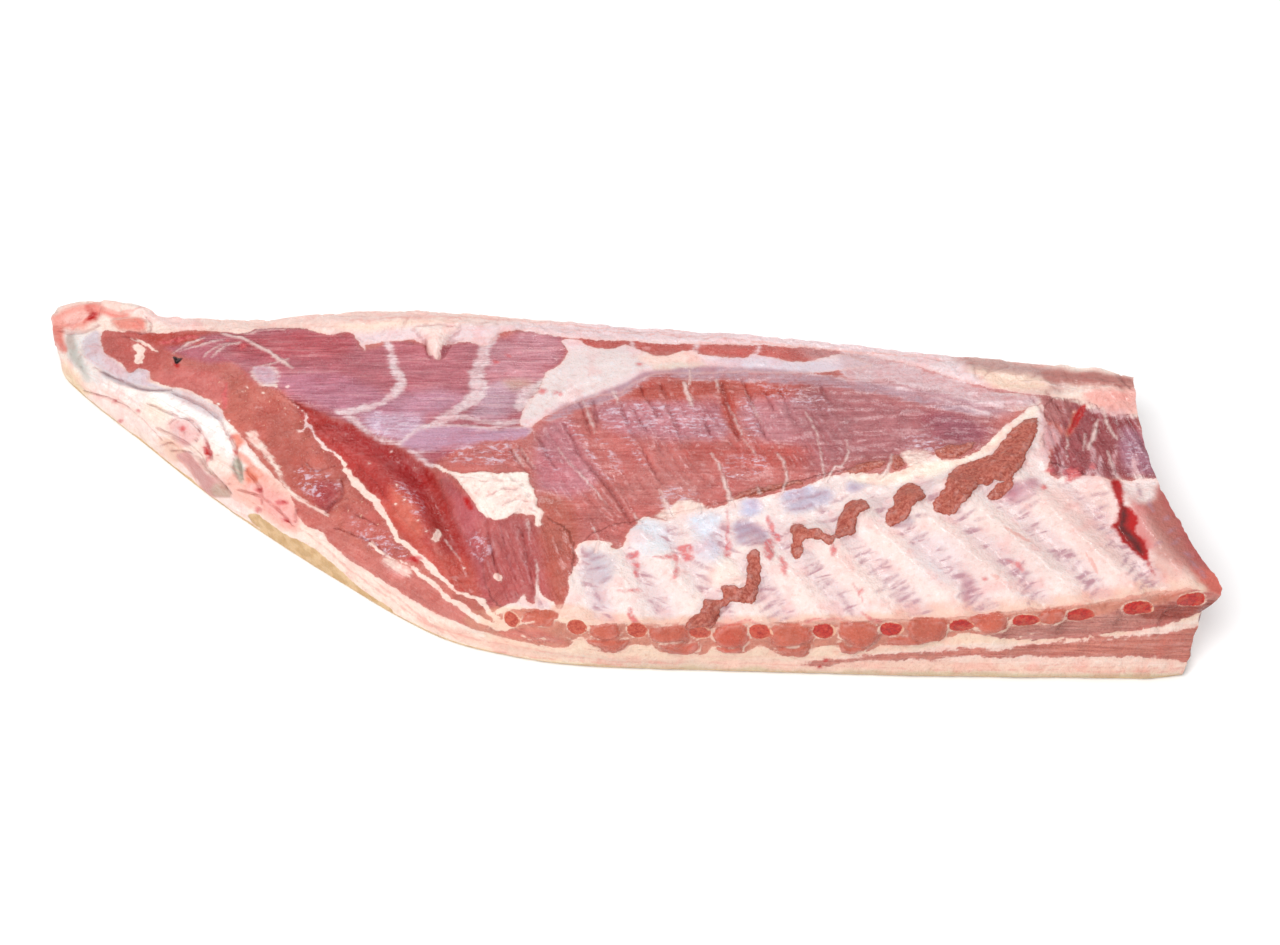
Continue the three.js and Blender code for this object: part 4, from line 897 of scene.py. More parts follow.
FAT_AREAS = [
    ("far rim", (247, 213, 203), 4,
     "190,318 350,310 480,312 640,325 800,333 930,350 1050,368 1050,378 930,368 800,350 640,342 480,340 "
     "350,330 190,330"),
    ("cream of the far rim", (250, 224, 206), 3, "340,326 420,322 500,324 540,330 470,336 380,338 344,332"),
    ("rim's right end", (196, 154, 148), 5, "900,352 1050,368 1060,392 1000,390 900,372"),
    ("cream of the rim's right end", (244, 212, 192), 4,
     "960,368 1010,374 1046,382 1044,392 1000,390 960,380"),
    ("brown of the rim", (184, 120, 112), 2.5,
     "1044,372 1075,372 1132,380 1134,391 1110,388 1060,384 1045,380"),
    ("salmon of the rim", (243, 178, 168), 3,
     "1085,394 1100,391 1122,393 1136,388 1138,412 1110,414 1088,402"),
    ("films of the belly side", (238, 212, 214), 5,
     "330,334 860,330 1000,400 990,430 640,400 440,470 300,430"),
    ("white of the band", (232, 214, 212), 4,
     "566,350 640,352 690,356 700,366 640,370 610,388 560,404 528,420 524,404"),
    ("pink of the band", (246, 212, 202), 3, "640,356 690,352 700,364 660,368"),
    ("lilac of the band", (224, 206, 214), 4, "720,354 840,362 850,374 780,374 730,366"),
    ("tan of the band", (230, 208, 196), 2, "658,364 704,364 704,378 662,377"),
    ("grey strip", (188, 150, 160), 2,
     "545,420 556,410 575,401 600,392 622,384 645,373 690,368 740,368 800,372 850,380 900,388 950,402 "
     "990,415 950,412 900,400 850,391 800,387 740,382 700,381 660,379 640,386 620,398 590,407 565,418"),
    ("far end of the long muscle", (216, 184, 188), 4, FILM["far end of the long muscle"]),
    ("mauve strip", (198, 152, 174), 2, "400,446 420,430 450,426 500,430 530,428 522,442 480,444 440,452"),
    ("flank margin", (254, 238, 232), 5,
     "95,372 125,384 170,392 215,405 238,432 262,466 250,480 215,450 180,425 130,405 95,385"),
    ("margin's outer edge", (254, 228, 220), 4,
     "60,360 80,385 110,415 150,440 200,495 255,522 240,500 200,470 160,430 120,405 85,375"),
    ("orange of the corner", (240, 198, 178), 3, "158,440 182,440 184,452 176,462 166,458"),
    ("warm of the tip", (246, 218, 184), 4, "62,362 76,372 90,395 76,392 64,375"),
    ("cream of the margin", (250, 230, 214), 5, "150,402 176,404 172,416 158,420 146,412"),
    ("salmon of the margin", (243, 188, 174), 3, "225,480 262,470 296,505 300,532 275,525 240,500"),
    ("ring in the margin", (236, 200, 196), 3, "170,424 184,418 200,428 196,442 182,446 172,438"),
    ("white of the margin", (255, 250, 246), 4,
     "150,394 180,398 208,412 226,436 236,456 222,446 200,428 170,412"),
    ("white of the tip", (236, 226, 222), 3, "64,333 88,336 86,350 95,368 110,378 100,385 80,372 66,350"),
    ("speckled grey", (192, 186, 178), 3, "66,336 74,336 80,350 86,366 90,382 82,372 72,358 65,346"),
    ("film at the tip", (216, 200, 206), 2,
     "87,338 101,333 104,351 114,358 125,369 144,368 151,373 149,381 160,386 169,390 144,388 123,381 105,371 "
     "92,362 85,349"),
    ("rosy of the film", (222, 188, 192), 3, "100,352 114,358 128,372 122,376 106,364"),
    ("shade under the film", (192, 178, 180), 1.6,
     "104,370 124,381 150,390 168,389 168,393 148,393 122,385 104,375"),
    ("tip lobe", (238, 162, 150), 2.5,
     "54,318 58,313 75,307 94,304 103,307 97,318 95,323 84,330 68,330 56,325"),
    ("pale of the tip lobe", (246, 192, 182), 3, "66,318 80,312 92,316 86,325 70,324"),
    ("red of the tip lobe", (220, 118, 108), 2, "86,306 98,306 97,316 92,324 86,326 90,316"),
    ("second tip lobe", (234, 150, 136), 2.5, "112,321 123,318 140,318 147,322 145,331 136,333 121,330"),
    ("tip strip", (224, 134, 122), 2, "50,326 62,326 62,340 66,352 58,350"),
    ("ridge between the lobes", (236, 146, 134), 2.5, "94,306 112,312 128,312 126,316 110,316 98,312"),
    ("pink by the lobes", (250, 214, 208), 4, "128,310 170,314 200,324 180,330 150,320"),
    ("grey band", (218, 202, 204), 3, "169,388 188,390 206,399 221,409 221,419 204,414 186,402 170,396"),
    ("pinkish grey flap", (210, 152, 148), 1.6,
     "174,456 182,452 190,453 198,461 206,470 218,481 231,493 226,496 205,494 196,481 186,469"),
    ("grey end of the flap", (200, 168, 152), 2, "214,484 222,484 231,493 226,496 212,494"),
    ("grey-green gap", (186, 178, 162), 1.8, "232,470 236,456 243,463 246,484 239,478"),
    ("orange blobs", (232, 134, 110), 1.6, "247,469 254,466 261,472 259,480 250,484"),
    ("second orange blob", (236, 150, 130), 1.6, "231,436 239,434 243,443 238,449"),
    ("red edge of the margin", (238, 168, 152), 2, "234,448 246,456 262,472 262,480 250,468 238,458"),
    ("pink of the corner", (243, 176, 168), 4, "250,488 262,484 296,505 300,526 270,516"),
    ("fat under the flank", (250, 226, 212), 3, "300,520 340,556 400,596 480,634 480,652 400,620 320,564"),
    ("yellow of the lower edge", (248, 230, 200), 2.5,
     "400,618 430,634 500,652 600,664 600,672 500,662 420,640"),
    ("loin fat", (246, 206, 188), 4,
     "520,646 640,656 800,660 1000,660 1190,658 1190,674 1000,673 800,672 640,668 500,652 420,620"),
    ("grey of the loin fat", (228, 202, 184), 4, "500,646 560,654 640,660 720,664 700,668 600,662 520,652"),
    ("white of the shoulder's fat", (250, 220, 206), 3,
     "1000,659 1100,659 1190,664 1190,668 1100,666 1000,664"),
    ("drip", (250, 226, 218), 3, FAT["drip"]),
    ("pale patch", (214, 180, 192), 3, FILM["pale patch"]),
    ("fat pad", (252, 236, 226), 2, FAT["fat pad"]),
    ("skin line", (216, 192, 160), 2,
     "540,664 648,671 800,675 1000,678 1190,682 1190,675 1000,673 800,670 648,666"),
    ("lining", (243, 222, 218), 3, LINING),
    ("first grey patch", (202, 188, 198), 4,
     "585,552 594,548 609,553 616,560 615,572 609,581 597,584 584,574"),
    ("foot of the first patch", (214, 198, 204), 5, "592,588 602,588 604,604 596,606"),
    ("blue-white patch", (226, 226, 234), 5, "632,526 650,522 668,530 668,550 650,556 634,548"),
    ("second blue-white patch", (226, 224, 234), 5, "691,517 720,516 720,538 704,540 692,534"),
    ("lilac patch", (212, 204, 220), 5, "693,541 722,540 722,564 708,562 694,554"),
    ("hatched patch", (186, 166, 184), 3.5, "734,524 745,520 758,524 768,534 764,543 748,546 736,542"),
    ("blue over it", (206, 200, 222), 4, "741,500 756,498 760,510 748,516 740,510"),
    ("grey over the second stub", (200, 186, 202), 4.5, "782,494 800,489 830,488 832,498 812,510 786,512"),
    ("blue by the nerves", (208, 206, 226), 4, "784,490 800,486 812,488 800,496 786,498"),
    ("grey by the third stub", (192, 176, 194), 3, "850,482 866,479 871,484 858,490 848,490"),
    ("dark under the third stub", (176, 158, 172), 2.5, "894,523 910,519 914,524 898,528"),
    ("hatched patch under the first stub", (212, 188, 196), 5,
     "756,588 768,586 790,612 786,624 774,618 760,602"),
    ("mauve by the fourth stub", (194, 136, 150), 4, "1003,488 1020,480 1038,480 1040,496 1022,510 1008,500"),
    ("ridge of fat", (250, 230, 214), 4,
     "850,476 880,472 912,464 945,458 972,450 1000,432 1030,410 1040,408 1034,416 1012,428 1000,446 960,464 "
     "930,476 890,484 860,484"),
    ("cream by the first stub", (250, 230, 220), 5,
     "730,552 745,548 744,568 740,584 724,586 700,598 690,610 704,580"),
    ("pleura", (247, 221, 215), 8,
     "745,604 800,570 870,530 930,522 1000,505 1060,488 1110,484 1130,520 1190,586 1120,600 960,614 760,618"),
    ("films of the shoulder", (220, 172, 176), 4,
     "1046,406 1090,410 1138,420 1160,474 1130,476 1060,474 1044,450"),
    ("cool of the pleura", (236, 208, 204), 9, "940,540 1000,530 1050,540 1060,580 1000,596 950,580"),
    ("grey of the pleura", (238, 218, 218), 7, "910,540 950,535 965,560 940,585 915,570"),
    ("rosy of the pleura", (238, 202, 196), 8, "1040,490 1100,488 1116,520 1130,560 1090,560 1060,520"),
    ("right pleura", (186, 112, 104), 6, "1136,500 1164,490 1190,530 1225,580 1195,586 1165,566 1146,536"),
    ("foot of the right pleura", (226, 176, 166), 5, "1150,560 1180,564 1206,582 1190,590 1156,586"),
    ("red beside the stain", (212, 116, 114), 4, "1130,498 1142,506 1148,524 1154,544 1144,546 1134,520"),
    ("mauve in the fourth gap", (192, 130, 138), 3.5, "960,576 968,572 976,584 972,602 962,600 964,590"),
    ("white by the stain", (240, 218, 214), 4, "1128,482 1148,480 1156,494 1146,504 1134,500"),
    ("shade by the shoulder's edge", (180, 96, 92), 3,
     "1158,486 1172,500 1192,530 1228,574 1220,580 1196,556 1174,520"),
    ("pink foot of the pleura", (240, 194, 180), 4,
     "900,606 1000,600 1080,592 1140,582 1190,576 1190,590 1080,604 960,618 900,620"),
    ("seams of the loin face", (244, 212, 190), 2,
     "498,606 580,620 640,624 700,624 760,624 830,622 900,620 960,618 1010,612 1080,602 1140,592 1190,586 "
     "1245,590 1201,616 1081,640 950,646 850,656 750,660 600,656 487,640"),
    ("tan of the loin face's top", (238, 196, 178), 2, ROW_TOP),
    ("knob", (212, 112, 100), 3, "1192,566 1216,572 1230,582 1228,596 1212,600 1204,586"),
]

# Areas whose grain doesn't run along the slab: degrees in the picture, outline
GRAIN_AREAS = {
    "shoulder": (-72, "1052,398 1138,405 1160,480 1060,482 1046,450"),
    "folds over the valley": (-72, "440,480 546,516 572,545 566,606 500,606 478,560"),
    "flank": (-38, "225,400 300,405 476,600 540,645 430,630 300,530 240,440"),
    "margin": (-38, "80,350 230,400 300,500 300,530 200,500 80,400"),
    "lining": (-24, "580,545 640,520 736,500 853,468 850,500 760,560 690,600 600,620"),
    "pleura": (24, "760,560 853,500 1000,460 1110,484 1200,580 1000,612 760,620"),
}
# How strongly the grain shows: share, outline
FIBRE_AREAS = {
    "belly wall": (1, outline_of(MEAT_AREAS, "belly wall")),
    "fleshy wall": (0.6, outline_of(MEAT_AREAS, "fleshy wall")),
    "shoulder muscle": (0.55, "853,386 912,398 960,408 995,425 985,445 940,450 900,462 850,464"),
    "shoulder": (0.55, GRAIN_AREAS["shoulder"][1]),
    "low flank": (0.5, "290,494 345,535 421,578 520,634 480,640 350,580"),
    "ragged": (1, outline_of(MEAT_AREAS, "ragged meat of the loin face")),
}
PLAIN_FIBRE, CUT_FIBRE = 0.22, 0.9  # elsewhere, and where the knife or saw cut across
WALL_GRAIN = 1.4  # of the far wall and the end, against their height
# Where pale specks lie on the muscle
SPECKLED = (
    "205,372 250,378 289,398 340,459 379,506 413,549 440,575 404,562 345,535 300,505 262,462 240,436 222,408")
# Folds: outline, the angle they run at, how far apart they are and how high, in millimetres
FOLDS = {
    "over the valley": ("470,520 546,524 570,548 562,602 505,604 480,570", -76, 7, 0.3),
    "wrinkles": (
        "545,425 600,404 690,392 790,394 850,402 846,446 780,470 700,482 640,506 600,530 550,524 560,470",
        -63, 7, 0.3),
    "fine wrinkles": ("590,404 690,400 740,404 750,436 700,442 620,436", -6, 2.9, 0.22),
    "left wrinkles": ("440,450 520,440 552,440 560,500 530,470 450,466", -58, 5, 0.25),
    "belly wall": ("300,345 480,350 470,400 400,436 300,395", -2, 3.4, 0.14),
    "shoulder": ("1052,400 1136,412 1156,476 1056,476", -74, 6.5, 0.5),
}


# ---- Painting ----
END_MEAT = (176, 98, 94)
OUTER_LEAN_MEAT = (208, 132, 116)
LOIN_MEAT = (202, 104, 84)
LINING_BETWEEN = (226, 198, 200)
LINING_OVER = (249, 226, 216)
SKIN_HEIGHT, SKIN_WAVE = 3.2, 0.8
# between two ribs: how far from the nearer it starts, its ramp, how near the other has to be, and its ramp
BETWEEN_FROM, BETWEEN_RAMP, BETWEEN_WITHIN, BETWEEN_FADE = 6.5, 6, 28, 8
OVER_SPREAD = 7
# what stands out of the surface, or is sunk in it: millimetres, its ramp, and how much of the ramp is outside
RAISED = {
    "thread": (0.4, 0.8, 0.4),
    "crease": (-1.0, 1.5, 0.6),
    "shaded_opening": (-1.6, 2, 0),
    "blood": (-0.8, 2.5, 0),
}
MARGIN_FOLD_DEPTH, PAD_RISE, PAD_LUMPS = 1.8, 1.0, 1.5
DRIP_RISE, LOBE_RISE, ROUND_WITHIN = 5, 2.6, 7


def paint(skin, base, areas):
    """Colours of the points: each area is laid over those before it, with a soft edge."""
    colours = np.tile(np.array(base, float), (len(skin.shown), 1))
    for _, colour, soft, outline in areas:
        share = smooth(skin.area(outline, REACH + soft) / soft * 0.5 + 0.5)[:, None]
        colours = mix(colours, np.array(colour, float), share)
    return colours


def linear(srgb):
    """sRGB, 0 to 255, to linear, 0 to 1."""
    share = np.clip(np.asarray(srgb, float) / 255, 0, 1)
    return np.where(share <= 0.04045, share / 12.92, ((share + 0.055) / 1.055) ** 2.4)


def albedo(srgb):
    """The colour to give a surface so that, lit and moist, it looks like an sRGB colour."""
    return np.clip((linear(srgb) - MOIST_VEIL) / LIGHT_GAIN, 0.004, 0.98)


def outside_bones(points):
    """On the loin face: how far outside the nearest sawn bone a point is; negative in it."""
    away = np.full(len(points), REACH)
    for (x, width, _, lean), line in zip(RIBS, RIB_LINES):
        widened = width / math.cos(math.radians(lean))
        height = bone_face_height(np.array([x], float), np.array([line[1][1]]))[0]
        middle = height + RIB_RISE - RIB_COVER - RIB_HEIGHT / 2
        across = (points[:, 0] - x) / (widened / 2)
        up = (points[:, 2] - middle) / (RIB_HEIGHT / 2)
        away = np.minimum(away, (np.hypot(across, up) - 1) * RIB_HEIGHT / 2)
    return away


def end_height(layer, y):
    """How high a layer's face shows on the cut end at y."""
    far_y, at_loin, at_far = layer
    return mix(at_loin, at_far, np.clip((y - OUTSIDE_LOIN_Y) / (far_y - OUTSIDE_LOIN_Y), 0, END_BEYOND))


def layers_of_end(points):
    """On the shoulder end: how far into the fat a point is; negative in the lean and in the outer lean."""
    wave = END_WAVE * lumps(points, 26, 60)
    y, z = points[:, 1], points[:, 2]
    lean = z - end_height(END_LEAN, y) + wave
    sheet = np.minimum(z - end_height(END_SHEET_UNDER, y), end_height(END_SHEET_OVER, y) - z) + wave
    return -np.maximum(lean, np.minimum(sheet, END_SHEET_UNDER[0] - y))


def rotated(shown, degrees):
    """Picture points as distances along and across a grain that runs at an angle in the picture."""
    turn = math.radians(degrees)
    along = shown[:, 0] * math.cos(turn) + shown[:, 1] * math.sin(turn)
    return np.stack([along, shown[:, 1] * math.cos(turn) - shown[:, 0] * math.sin(turn)], axis=1)


def strand_rise(grain):
    """How far the strands of the meat stand out, -1 to 1."""
    return lumps(grain * [0.16, 1], 3.4, 7)


def warped(shown, size, by, seed):
    return shown + by * np.stack([lumps(shown, size, seed), lumps(shown, size, seed + 5)], axis=1)


def between_ribs(points, lining):
    """How much a point of the lining is between two ribs, and how much over one, 0 to 1."""
    found = np.sort([to_line(line, points[:, 0], points[:, 1])[0] for line in RIB_LINES], axis=0)
    inside = smooth(lining / 4)
    between = smooth((found[0] - BETWEEN_FROM) / BETWEEN_RAMP)
    between *= smooth((BETWEEN_WITHIN - found[1]) / BETWEEN_FADE)
    return between * inside, bump(found[0], OVER_SPREAD) * inside


def fold_wave(skin, shown):
    """The folds' height, and the same as a share of each fold's own height, -1 to 1."""
    height, wave = np.zeros(len(shown)), np.zeros(len(shown))
    for outline, degrees, apart, high in FOLDS.values():
        share = smooth((skin.area(outline) + 2) / 6)
        here = rotated(shown, degrees)
        across = here[:, 1] / apart + 0.6 * lumps(here / [1.6, 1], apart * 4, 8)
        ripple = 2 * np.abs(np.sin(np.pi * across)) - 1.2
        patchy = smooth(1.3 * lumps(here / [2.2, 1], apart * 2.2, 9) + 0.6)
        height += high * share * patchy * ripple
        wave += share * patchy * ripple * min(1, high / 0.5)
    return height, np.clip(wave, -1, 1)


def measure(points, kinds, shown):
    """Everything that is painted or raised on the points: a dictionary of arrays."""
    skin = Skin(warped(warped(shown, 5, 0.8, 70), 2.6, 0.45, 72))
    ragged = Skin(warped(warped(shown, 12, 1.8, 71), 3, 1.1, 73))
    soft = Skin(warped(shown, 14, 2.2, 75))
    near, far, under, end, top = (kinds == k for k in (NEAR, FAR, UNDER, END, TOP))
    lean, lining, muscle = skin.area(LEAN_OUTLINE), ragged.area(LINING), ragged.distance(LOIN_MUSCLE)
    away = np.where(near, outside_bones(points), REACH)
    streaks = lumps(shown * [0.10, 1], 3.2, 76)
    outer = np.where(near, 0.5 * ragged.area(OUTER_LEAN) + 1.3 * streaks, -REACH)
    band = skin.distance(BAND)
    pale = np.max([-lean, ragged.distance(FAT), lining, band, ragged.distance(SEAM_LINES)], axis=0)
    pale = np.where(outer > -4, np.minimum(pale, -outer), pale)
    uneven = lumps(points, 8, 96)
    rings = np.where(near, 0.3 + 1.2 * uneven - np.abs(muscle), -REACH)
    pale = np.max([pale, ragged.distance(LOIN_SEAMS), rings, 0.2 + 0.7 * uneven - np.abs(away)], axis=0)
    between, over = between_ribs(points, lining)
    fold_height, fold = fold_wave(soft, shown)
    found = {
        "thread": skin.distance(THREADS), "film": ragged.distance(FILM), "sheen": soft.distance(SHEEN),
        "stroke": np.max([skin.line(group, STROKE_WIDTHS, 5.0) for group in STROKES.values()], axis=0),
        "magenta": ragged.distance(MAGENTA), "blood": skin.distance(BLOOD), "core": skin.line(*STAIN_CORE),
        "bare": ragged.distance(STUBS), "shaded_opening": skin.distance(SHADED_OPENINGS), "crease": skin.distance(CREASES),
        "pink": skin.distance(PINK_LINES), "speck": soft.area(SPECKLED), "muscle": muscle,
    }
    hidden = far | under | end
    for name in found:
        found[name] = np.where(hidden, -REACH, found[name])
    pale = np.where(far | under, REACH, pale)
    found["pale"] = np.where(end, np.clip(layers_of_end(points), -REACH, REACH), pale)
    skin_line = SKIN_HEIGHT + SKIN_WAVE * lumps(points, 30, 95) - points[:, 2]
    rind = np.maximum(np.where(near, skin.area(RIND), -REACH), skin_line)
    found["rind"] = np.where(under, REACH, np.where(top, -REACH, rind))
    found.update({
        "away": away, "lean": lean, "lining": lining, "smooth": smooth(np.maximum(lining, band) / 3 + 0.5),
        "between": np.where(top, between, 0), "fold": np.where(top, fold, 0), "fold_height": fold_height,
    })

    found.update(colours_of(points, kinds, soft, found, outer, over))
    found.update(grain_of(points, kinds, shown, soft, outer))
    return found


def colours_of(points, kinds, soft, found, outer, over):
    """The muscle's colour and the fat's at each point, uneven as flesh is."""
    tint = paint(soft, MEAT, MEAT_AREAS)
    tint[kinds == END] = END_MEAT
    tint = mix(tint, np.array(OUTER_LEAN_MEAT), smooth(outer / 2 + 0.5)[:, None])
    tint = mix(tint, np.array(LOIN_MEAT), 0.9 * smooth(found["muscle"] / 2 + 0.3)[:, None])
    pale_tint = paint(soft, FAT_COLOUR, FAT_AREAS)
    pale_tint = mix(pale_tint, np.array(LINING_BETWEEN), 0.5 * found["between"][:, None])
    pale_tint = mix(pale_tint, np.array(LINING_OVER), 0.35 * np.where(kinds == TOP, over, 0)[:, None])
    wide, fine, cast = lumps(points, 30, 100), lumps(points, 7, 110), lumps(points, 18, 120)
    blush = smooth((lumps(points, 9, 130) - 0.05) * 2.4)
    for colours, strength in ((tint, 0.09), (pale_tint, 0.03)):
        colours *= 1 + strength * (0.7 * wide + 0.8 * fine)[:, None]
        colours[:, 1:] *= 1 + 0.5 * strength * cast[:, None]
    pale_tint[:, 1:] *= 1 - 0.06 * blush[:, None]
    return {"tint": albedo(tint), "pale_tint": albedo(pale_tint)}


def grain_of(points, kinds, shown, soft, outer):
    """Which way the meat's fibres run, how strongly they show and how far they stand out."""
    far, under, end = (kinds == k for k in (FAR, UNDER, END))
    fibre = np.full(len(points), PLAIN_FIBRE)
    for strength, outline in FIBRE_AREAS.values():
        fibre = mix(fibre, strength, smooth(soft.area(outline) / 4 + 0.5))
    fibre = np.where(end | (outer > 0), CUT_FIBRE, fibre)
    grain = rotated(shown, 0)
    strands = strand_rise(grain)
    for degrees, outline in GRAIN_AREAS.values():
        inside, turned = soft.area(outline), rotated(shown, degrees)
        grain = np.where((inside > 0)[:, None], turned, grain)
        strands = mix(strands, strand_rise(turned), smooth(inside / 6 + 0.5))
    x, y, z = points.T
    along = np.where(end, y, np.where(far | under, x, grain[:, 0]))
    across = np.where(far | end, z * WALL_GRAIN, np.where(under, y, grain[:, 1]))
    return {"fibre": fibre, "strands": strands, "grain": np.stack([along, across, z], axis=1)}


def dome(inside):
    """A rounded swelling over an area, 0 at its edge and 1 well inside it."""
    return np.sqrt(np.clip(inside / ROUND_WITHIN, 0, 1))


def relief(points, kinds, shown, found):
    """How far the surface stands out of its plain form, in millimetres."""
    pale, lean = found["pale"], found["lean"]
    top, near = kinds == TOP, kinds == NEAR
    skin = Skin(warped(shown, 6, 0.8, 74))
    fat = smooth(pale / 3) * (1 - found["smooth"])
    meat = smooth(-pale / 2)
    creased = 1 - np.abs(lumps(points, 15, 3)) * 3.2
    rise = 0.4 * lumps(points, 16, 1) + 0.2 * lumps(points, 5, 2)
    rise += fat * 2.4 * lumps(points, 24, 16) * smooth((-170 - points[:, 0]) / 50)
    plain = np.where(near, 0.3, 1)
    rise += fat * plain * (0.9 * lumps(points, 12, 3) + 0.45 * lumps(points, 4, 4) - 0.7 * smooth(creased))
    rise += meat * found["fibre"] * 0.55 * found["strands"]
    rise += meat * 0.3 * lumps(points, 7, 15)
    rise += np.where(top, 1.1 * smooth(-lean / 3), 0)
    rise += smooth(found["lining"] / 4) * (0.6 * lumps(points, 10, 5) + 0.16 * lumps(points, 3.5, 12))
    rise += smooth(found["bare"] / 4 + 0.4) * (1.3 + 1.0 * lumps(points, 4, 6))
    rise += np.where(near, 1.4 * smooth(found["muscle"] / 3), 0.5 * smooth(found["muscle"] / 3))
    for name, (height, ramp, outside) in RAISED.items():
        rise += height * smooth(found[name] / ramp + outside)
    rise -= 0.2 * found["between"]
    rise -= MARGIN_FOLD_DEPTH * smooth(skin.distance(MARGIN_FOLDS) / 1.6 + 0.8)
    rise += found["fold_height"]
    rise += smooth(skin.area(FAT["fat pad"]) / 2) * (PAD_RISE + PAD_LUMPS * lumps(points, 4, 10))
    rise += DRIP_RISE * dome(skin.area(FAT["drip"]))
    for lobe in ("tip lobe", "second tip lobe"):
        rise += np.where(kinds != FAR, LOBE_RISE * dome(skin.area(outline_of(FAT_AREAS, lobe))), 0)
    foot = smooth(points[:, 2] / 5)
    return np.where(kinds == UNDER, 0, rise * foot)


# ---- Meshes ----
def mesh_object(name, points, faces):
    """A mesh object in metres, in the shared frame, from points in millimetres of the slab."""
    mesh = bpy.data.meshes.new(name)
    placed = (np.asarray(points) + ORIGIN_SHIFT) * MM
    mesh.from_pydata(placed.tolist(), [], [list(map(int, face)) for face in faces])
    mesh.validate()
    piece = bpy.data.objects.new(name, mesh)
    bpy.context.scene.collection.objects.link(piece)
    return piece


def loft_faces(rings, count):
    faces = []
    for i in range(rings - 1):
        a = i * count + np.arange(count)
        b = i * count + (np.arange(count) + 1) % count
        faces.append(np.stack([a, a + count, b + count, b], axis=1))
    return np.concatenate(faces)


def volume(points, faces):
    total = 0.0
    for k in range(1, faces.shape[1] - 1):
        a, b, c = points[faces[:, 0]], points[faces[:, k]], points[faces[:, k + 1]]
        total += np.einsum("ij,ij->i", a, np.cross(b, c)).sum()
    return total


def lofted(name, rings):
    """A closed mesh object from rings of equal length, with a fan over each end."""
    rings = [np.asarray(ring, float) for ring in rings]
    count = len(rings[0])
    points = np.concatenate(rings + [[rings[0].mean(axis=0)], [rings[-1].mean(axis=0)]])
    faces = loft_faces(len(rings), count)
    last = count * (len(rings) - 1)
    now, after = np.arange(count), (np.arange(count) + 1) % count
    fans = np.concatenate([
        np.stack([np.full(count, len(points) - 2), now, after], axis=1),
        np.stack([np.full(count, len(points) - 1), last + after, last + now], axis=1)])
    if volume(points, faces) < 0:
        faces, fans = faces[:, ::-1], fans[:, ::-1]
    return mesh_object(name, points, faces.tolist() + fans.tolist())


def store(mesh, name, values):
    """Keeps a number, vector or colour for each vertex."""
    values = np.asarray(values, np.float32)
    if values.ndim == 1:
        mesh.attributes.new(name, "FLOAT", "POINT").data.foreach_set("value", values)
    elif "tint" in name:
        full = np.concatenate([values, np.ones((len(values), 1), np.float32)], axis=1)
        mesh.attributes.new(name, "FLOAT_COLOR", "POINT").data.foreach_set("color", full.ravel())
    else:
        mesh.attributes.new(name, "FLOAT_VECTOR", "POINT").data.foreach_set("vector", values.ravel())


# what the materials read from the vertices
PAINTED = ("hollow", "pale", "thread", "film", "sheen", "stroke", "magenta", "blood", "core", "bare", "shaded_opening",
           "crease", "pink", "rind", "fold", "fibre", "speck", "smooth", "between", "tint", "pale_tint",
           "grain", "away")
END_LUMPS, END_FAT_RISE = 0.5, 0.5


def hollows(rise, count):
    """How far each point of the rings is below those around it, in millimetres."""
    sheet = rise.reshape(-1, count)
    steps = [shift for shift in range(-HOLLOW_REACH, HOLLOW_REACH + 1) if shift]
    around = sum(np.roll(sheet, shift, axis) for axis in (0, 1) for shift in steps) / (2 * len(steps))
    return (around - sheet).ravel()


def make_slab():
    """The whole slab as one closed mesh, with what its materials paint kept on its vertices."""
    grid, ring_kinds = slab_grid()
    stations, count, _ = grid.shape
    inner = end_rings(grid[-1])
    kinds = np.concatenate([np.tile(ring_kinds, stations), np.full(count * len(inner), END)])
    points = np.concatenate([grid.reshape(-1, 3), *inner])
    edge = np.concatenate([np.repeat(grid[:, ROWS], count, axis=0), *inner])
    shown = picture_of(np.where((kinds == FAR)[:, None], edge, points))
    found = measure(points, kinds, shown)
    facing_out = np.tile([1.0, 0, 0], (count * len(inner), 1))
    normals = np.concatenate([grid_normals(grid).reshape(-1, 3), facing_out])
    at_end = END_LUMPS * lumps(points, 9, 11) + END_FAT_RISE * smooth(found["pale"] / 2)
    rise = np.where(kinds == END, at_end, relief(points, kinds, shown, found))
    points = points + normals * rise[:, None]
    ragged = smooth((points[:, 0] - RAGGED_FROM) / RAGGED_RAMP) * lumps(points[:, 1:], RAGGED_SIZE, 140)
    points[:, 0] += RAGGED_BY * ragged
    found["hollow"] = hollows(rise, count)
    slab = lofted("slab", points.reshape(-1, count, 3))
    for name in PAINTED:
        values = found[name]
        caps = [values[:count].mean(axis=0), values[-count:].mean(axis=0)]
        store(slab.data, name, np.concatenate([values, np.array(caps).reshape(2, *values.shape[1:])]))
    store(slab.data, "known", np.ones(len(slab.data.vertices)))
    return slab


def layer_run(sections):
    steps = LAYER_STEPS * (len(sections) - 1)
    return through(sections, np.linspace(0, 1, steps + 1))


def lean_space():
    across = np.linspace(0, 1, LAYER_POINTS)
    rings = []
    for nx, ny, fx, fy, near_under, far_under in layer_run(LEAN_SECTIONS):
        ring = [(mix(nx, fx, v), mix(ny, fy, v), mix(near_under, far_under, v)) for v in across]
        rings.append(ring + [(fx, fy, LEAN_TOP), (nx, ny, LEAN_TOP)])
    return lofted("lean_space", rings)


def outer_lean_space():
    across = np.linspace(0, 1, LAYER_POINTS)
    rings = []
    for x, far, low_near, low_far, high_near, high_far in layer_run(OUTER_LEAN_SECTIONS):
        low = [(x, mix(OUTSIDE_LOIN_Y, far, v), mix(low_near, low_far, v)) for v in across]
        high = [(x, mix(OUTSIDE_LOIN_Y, far, v), mix(high_near, high_far, v)) for v in across]
        rings.append(low + high[::-1])
    return lofted("outer_lean_space", rings)


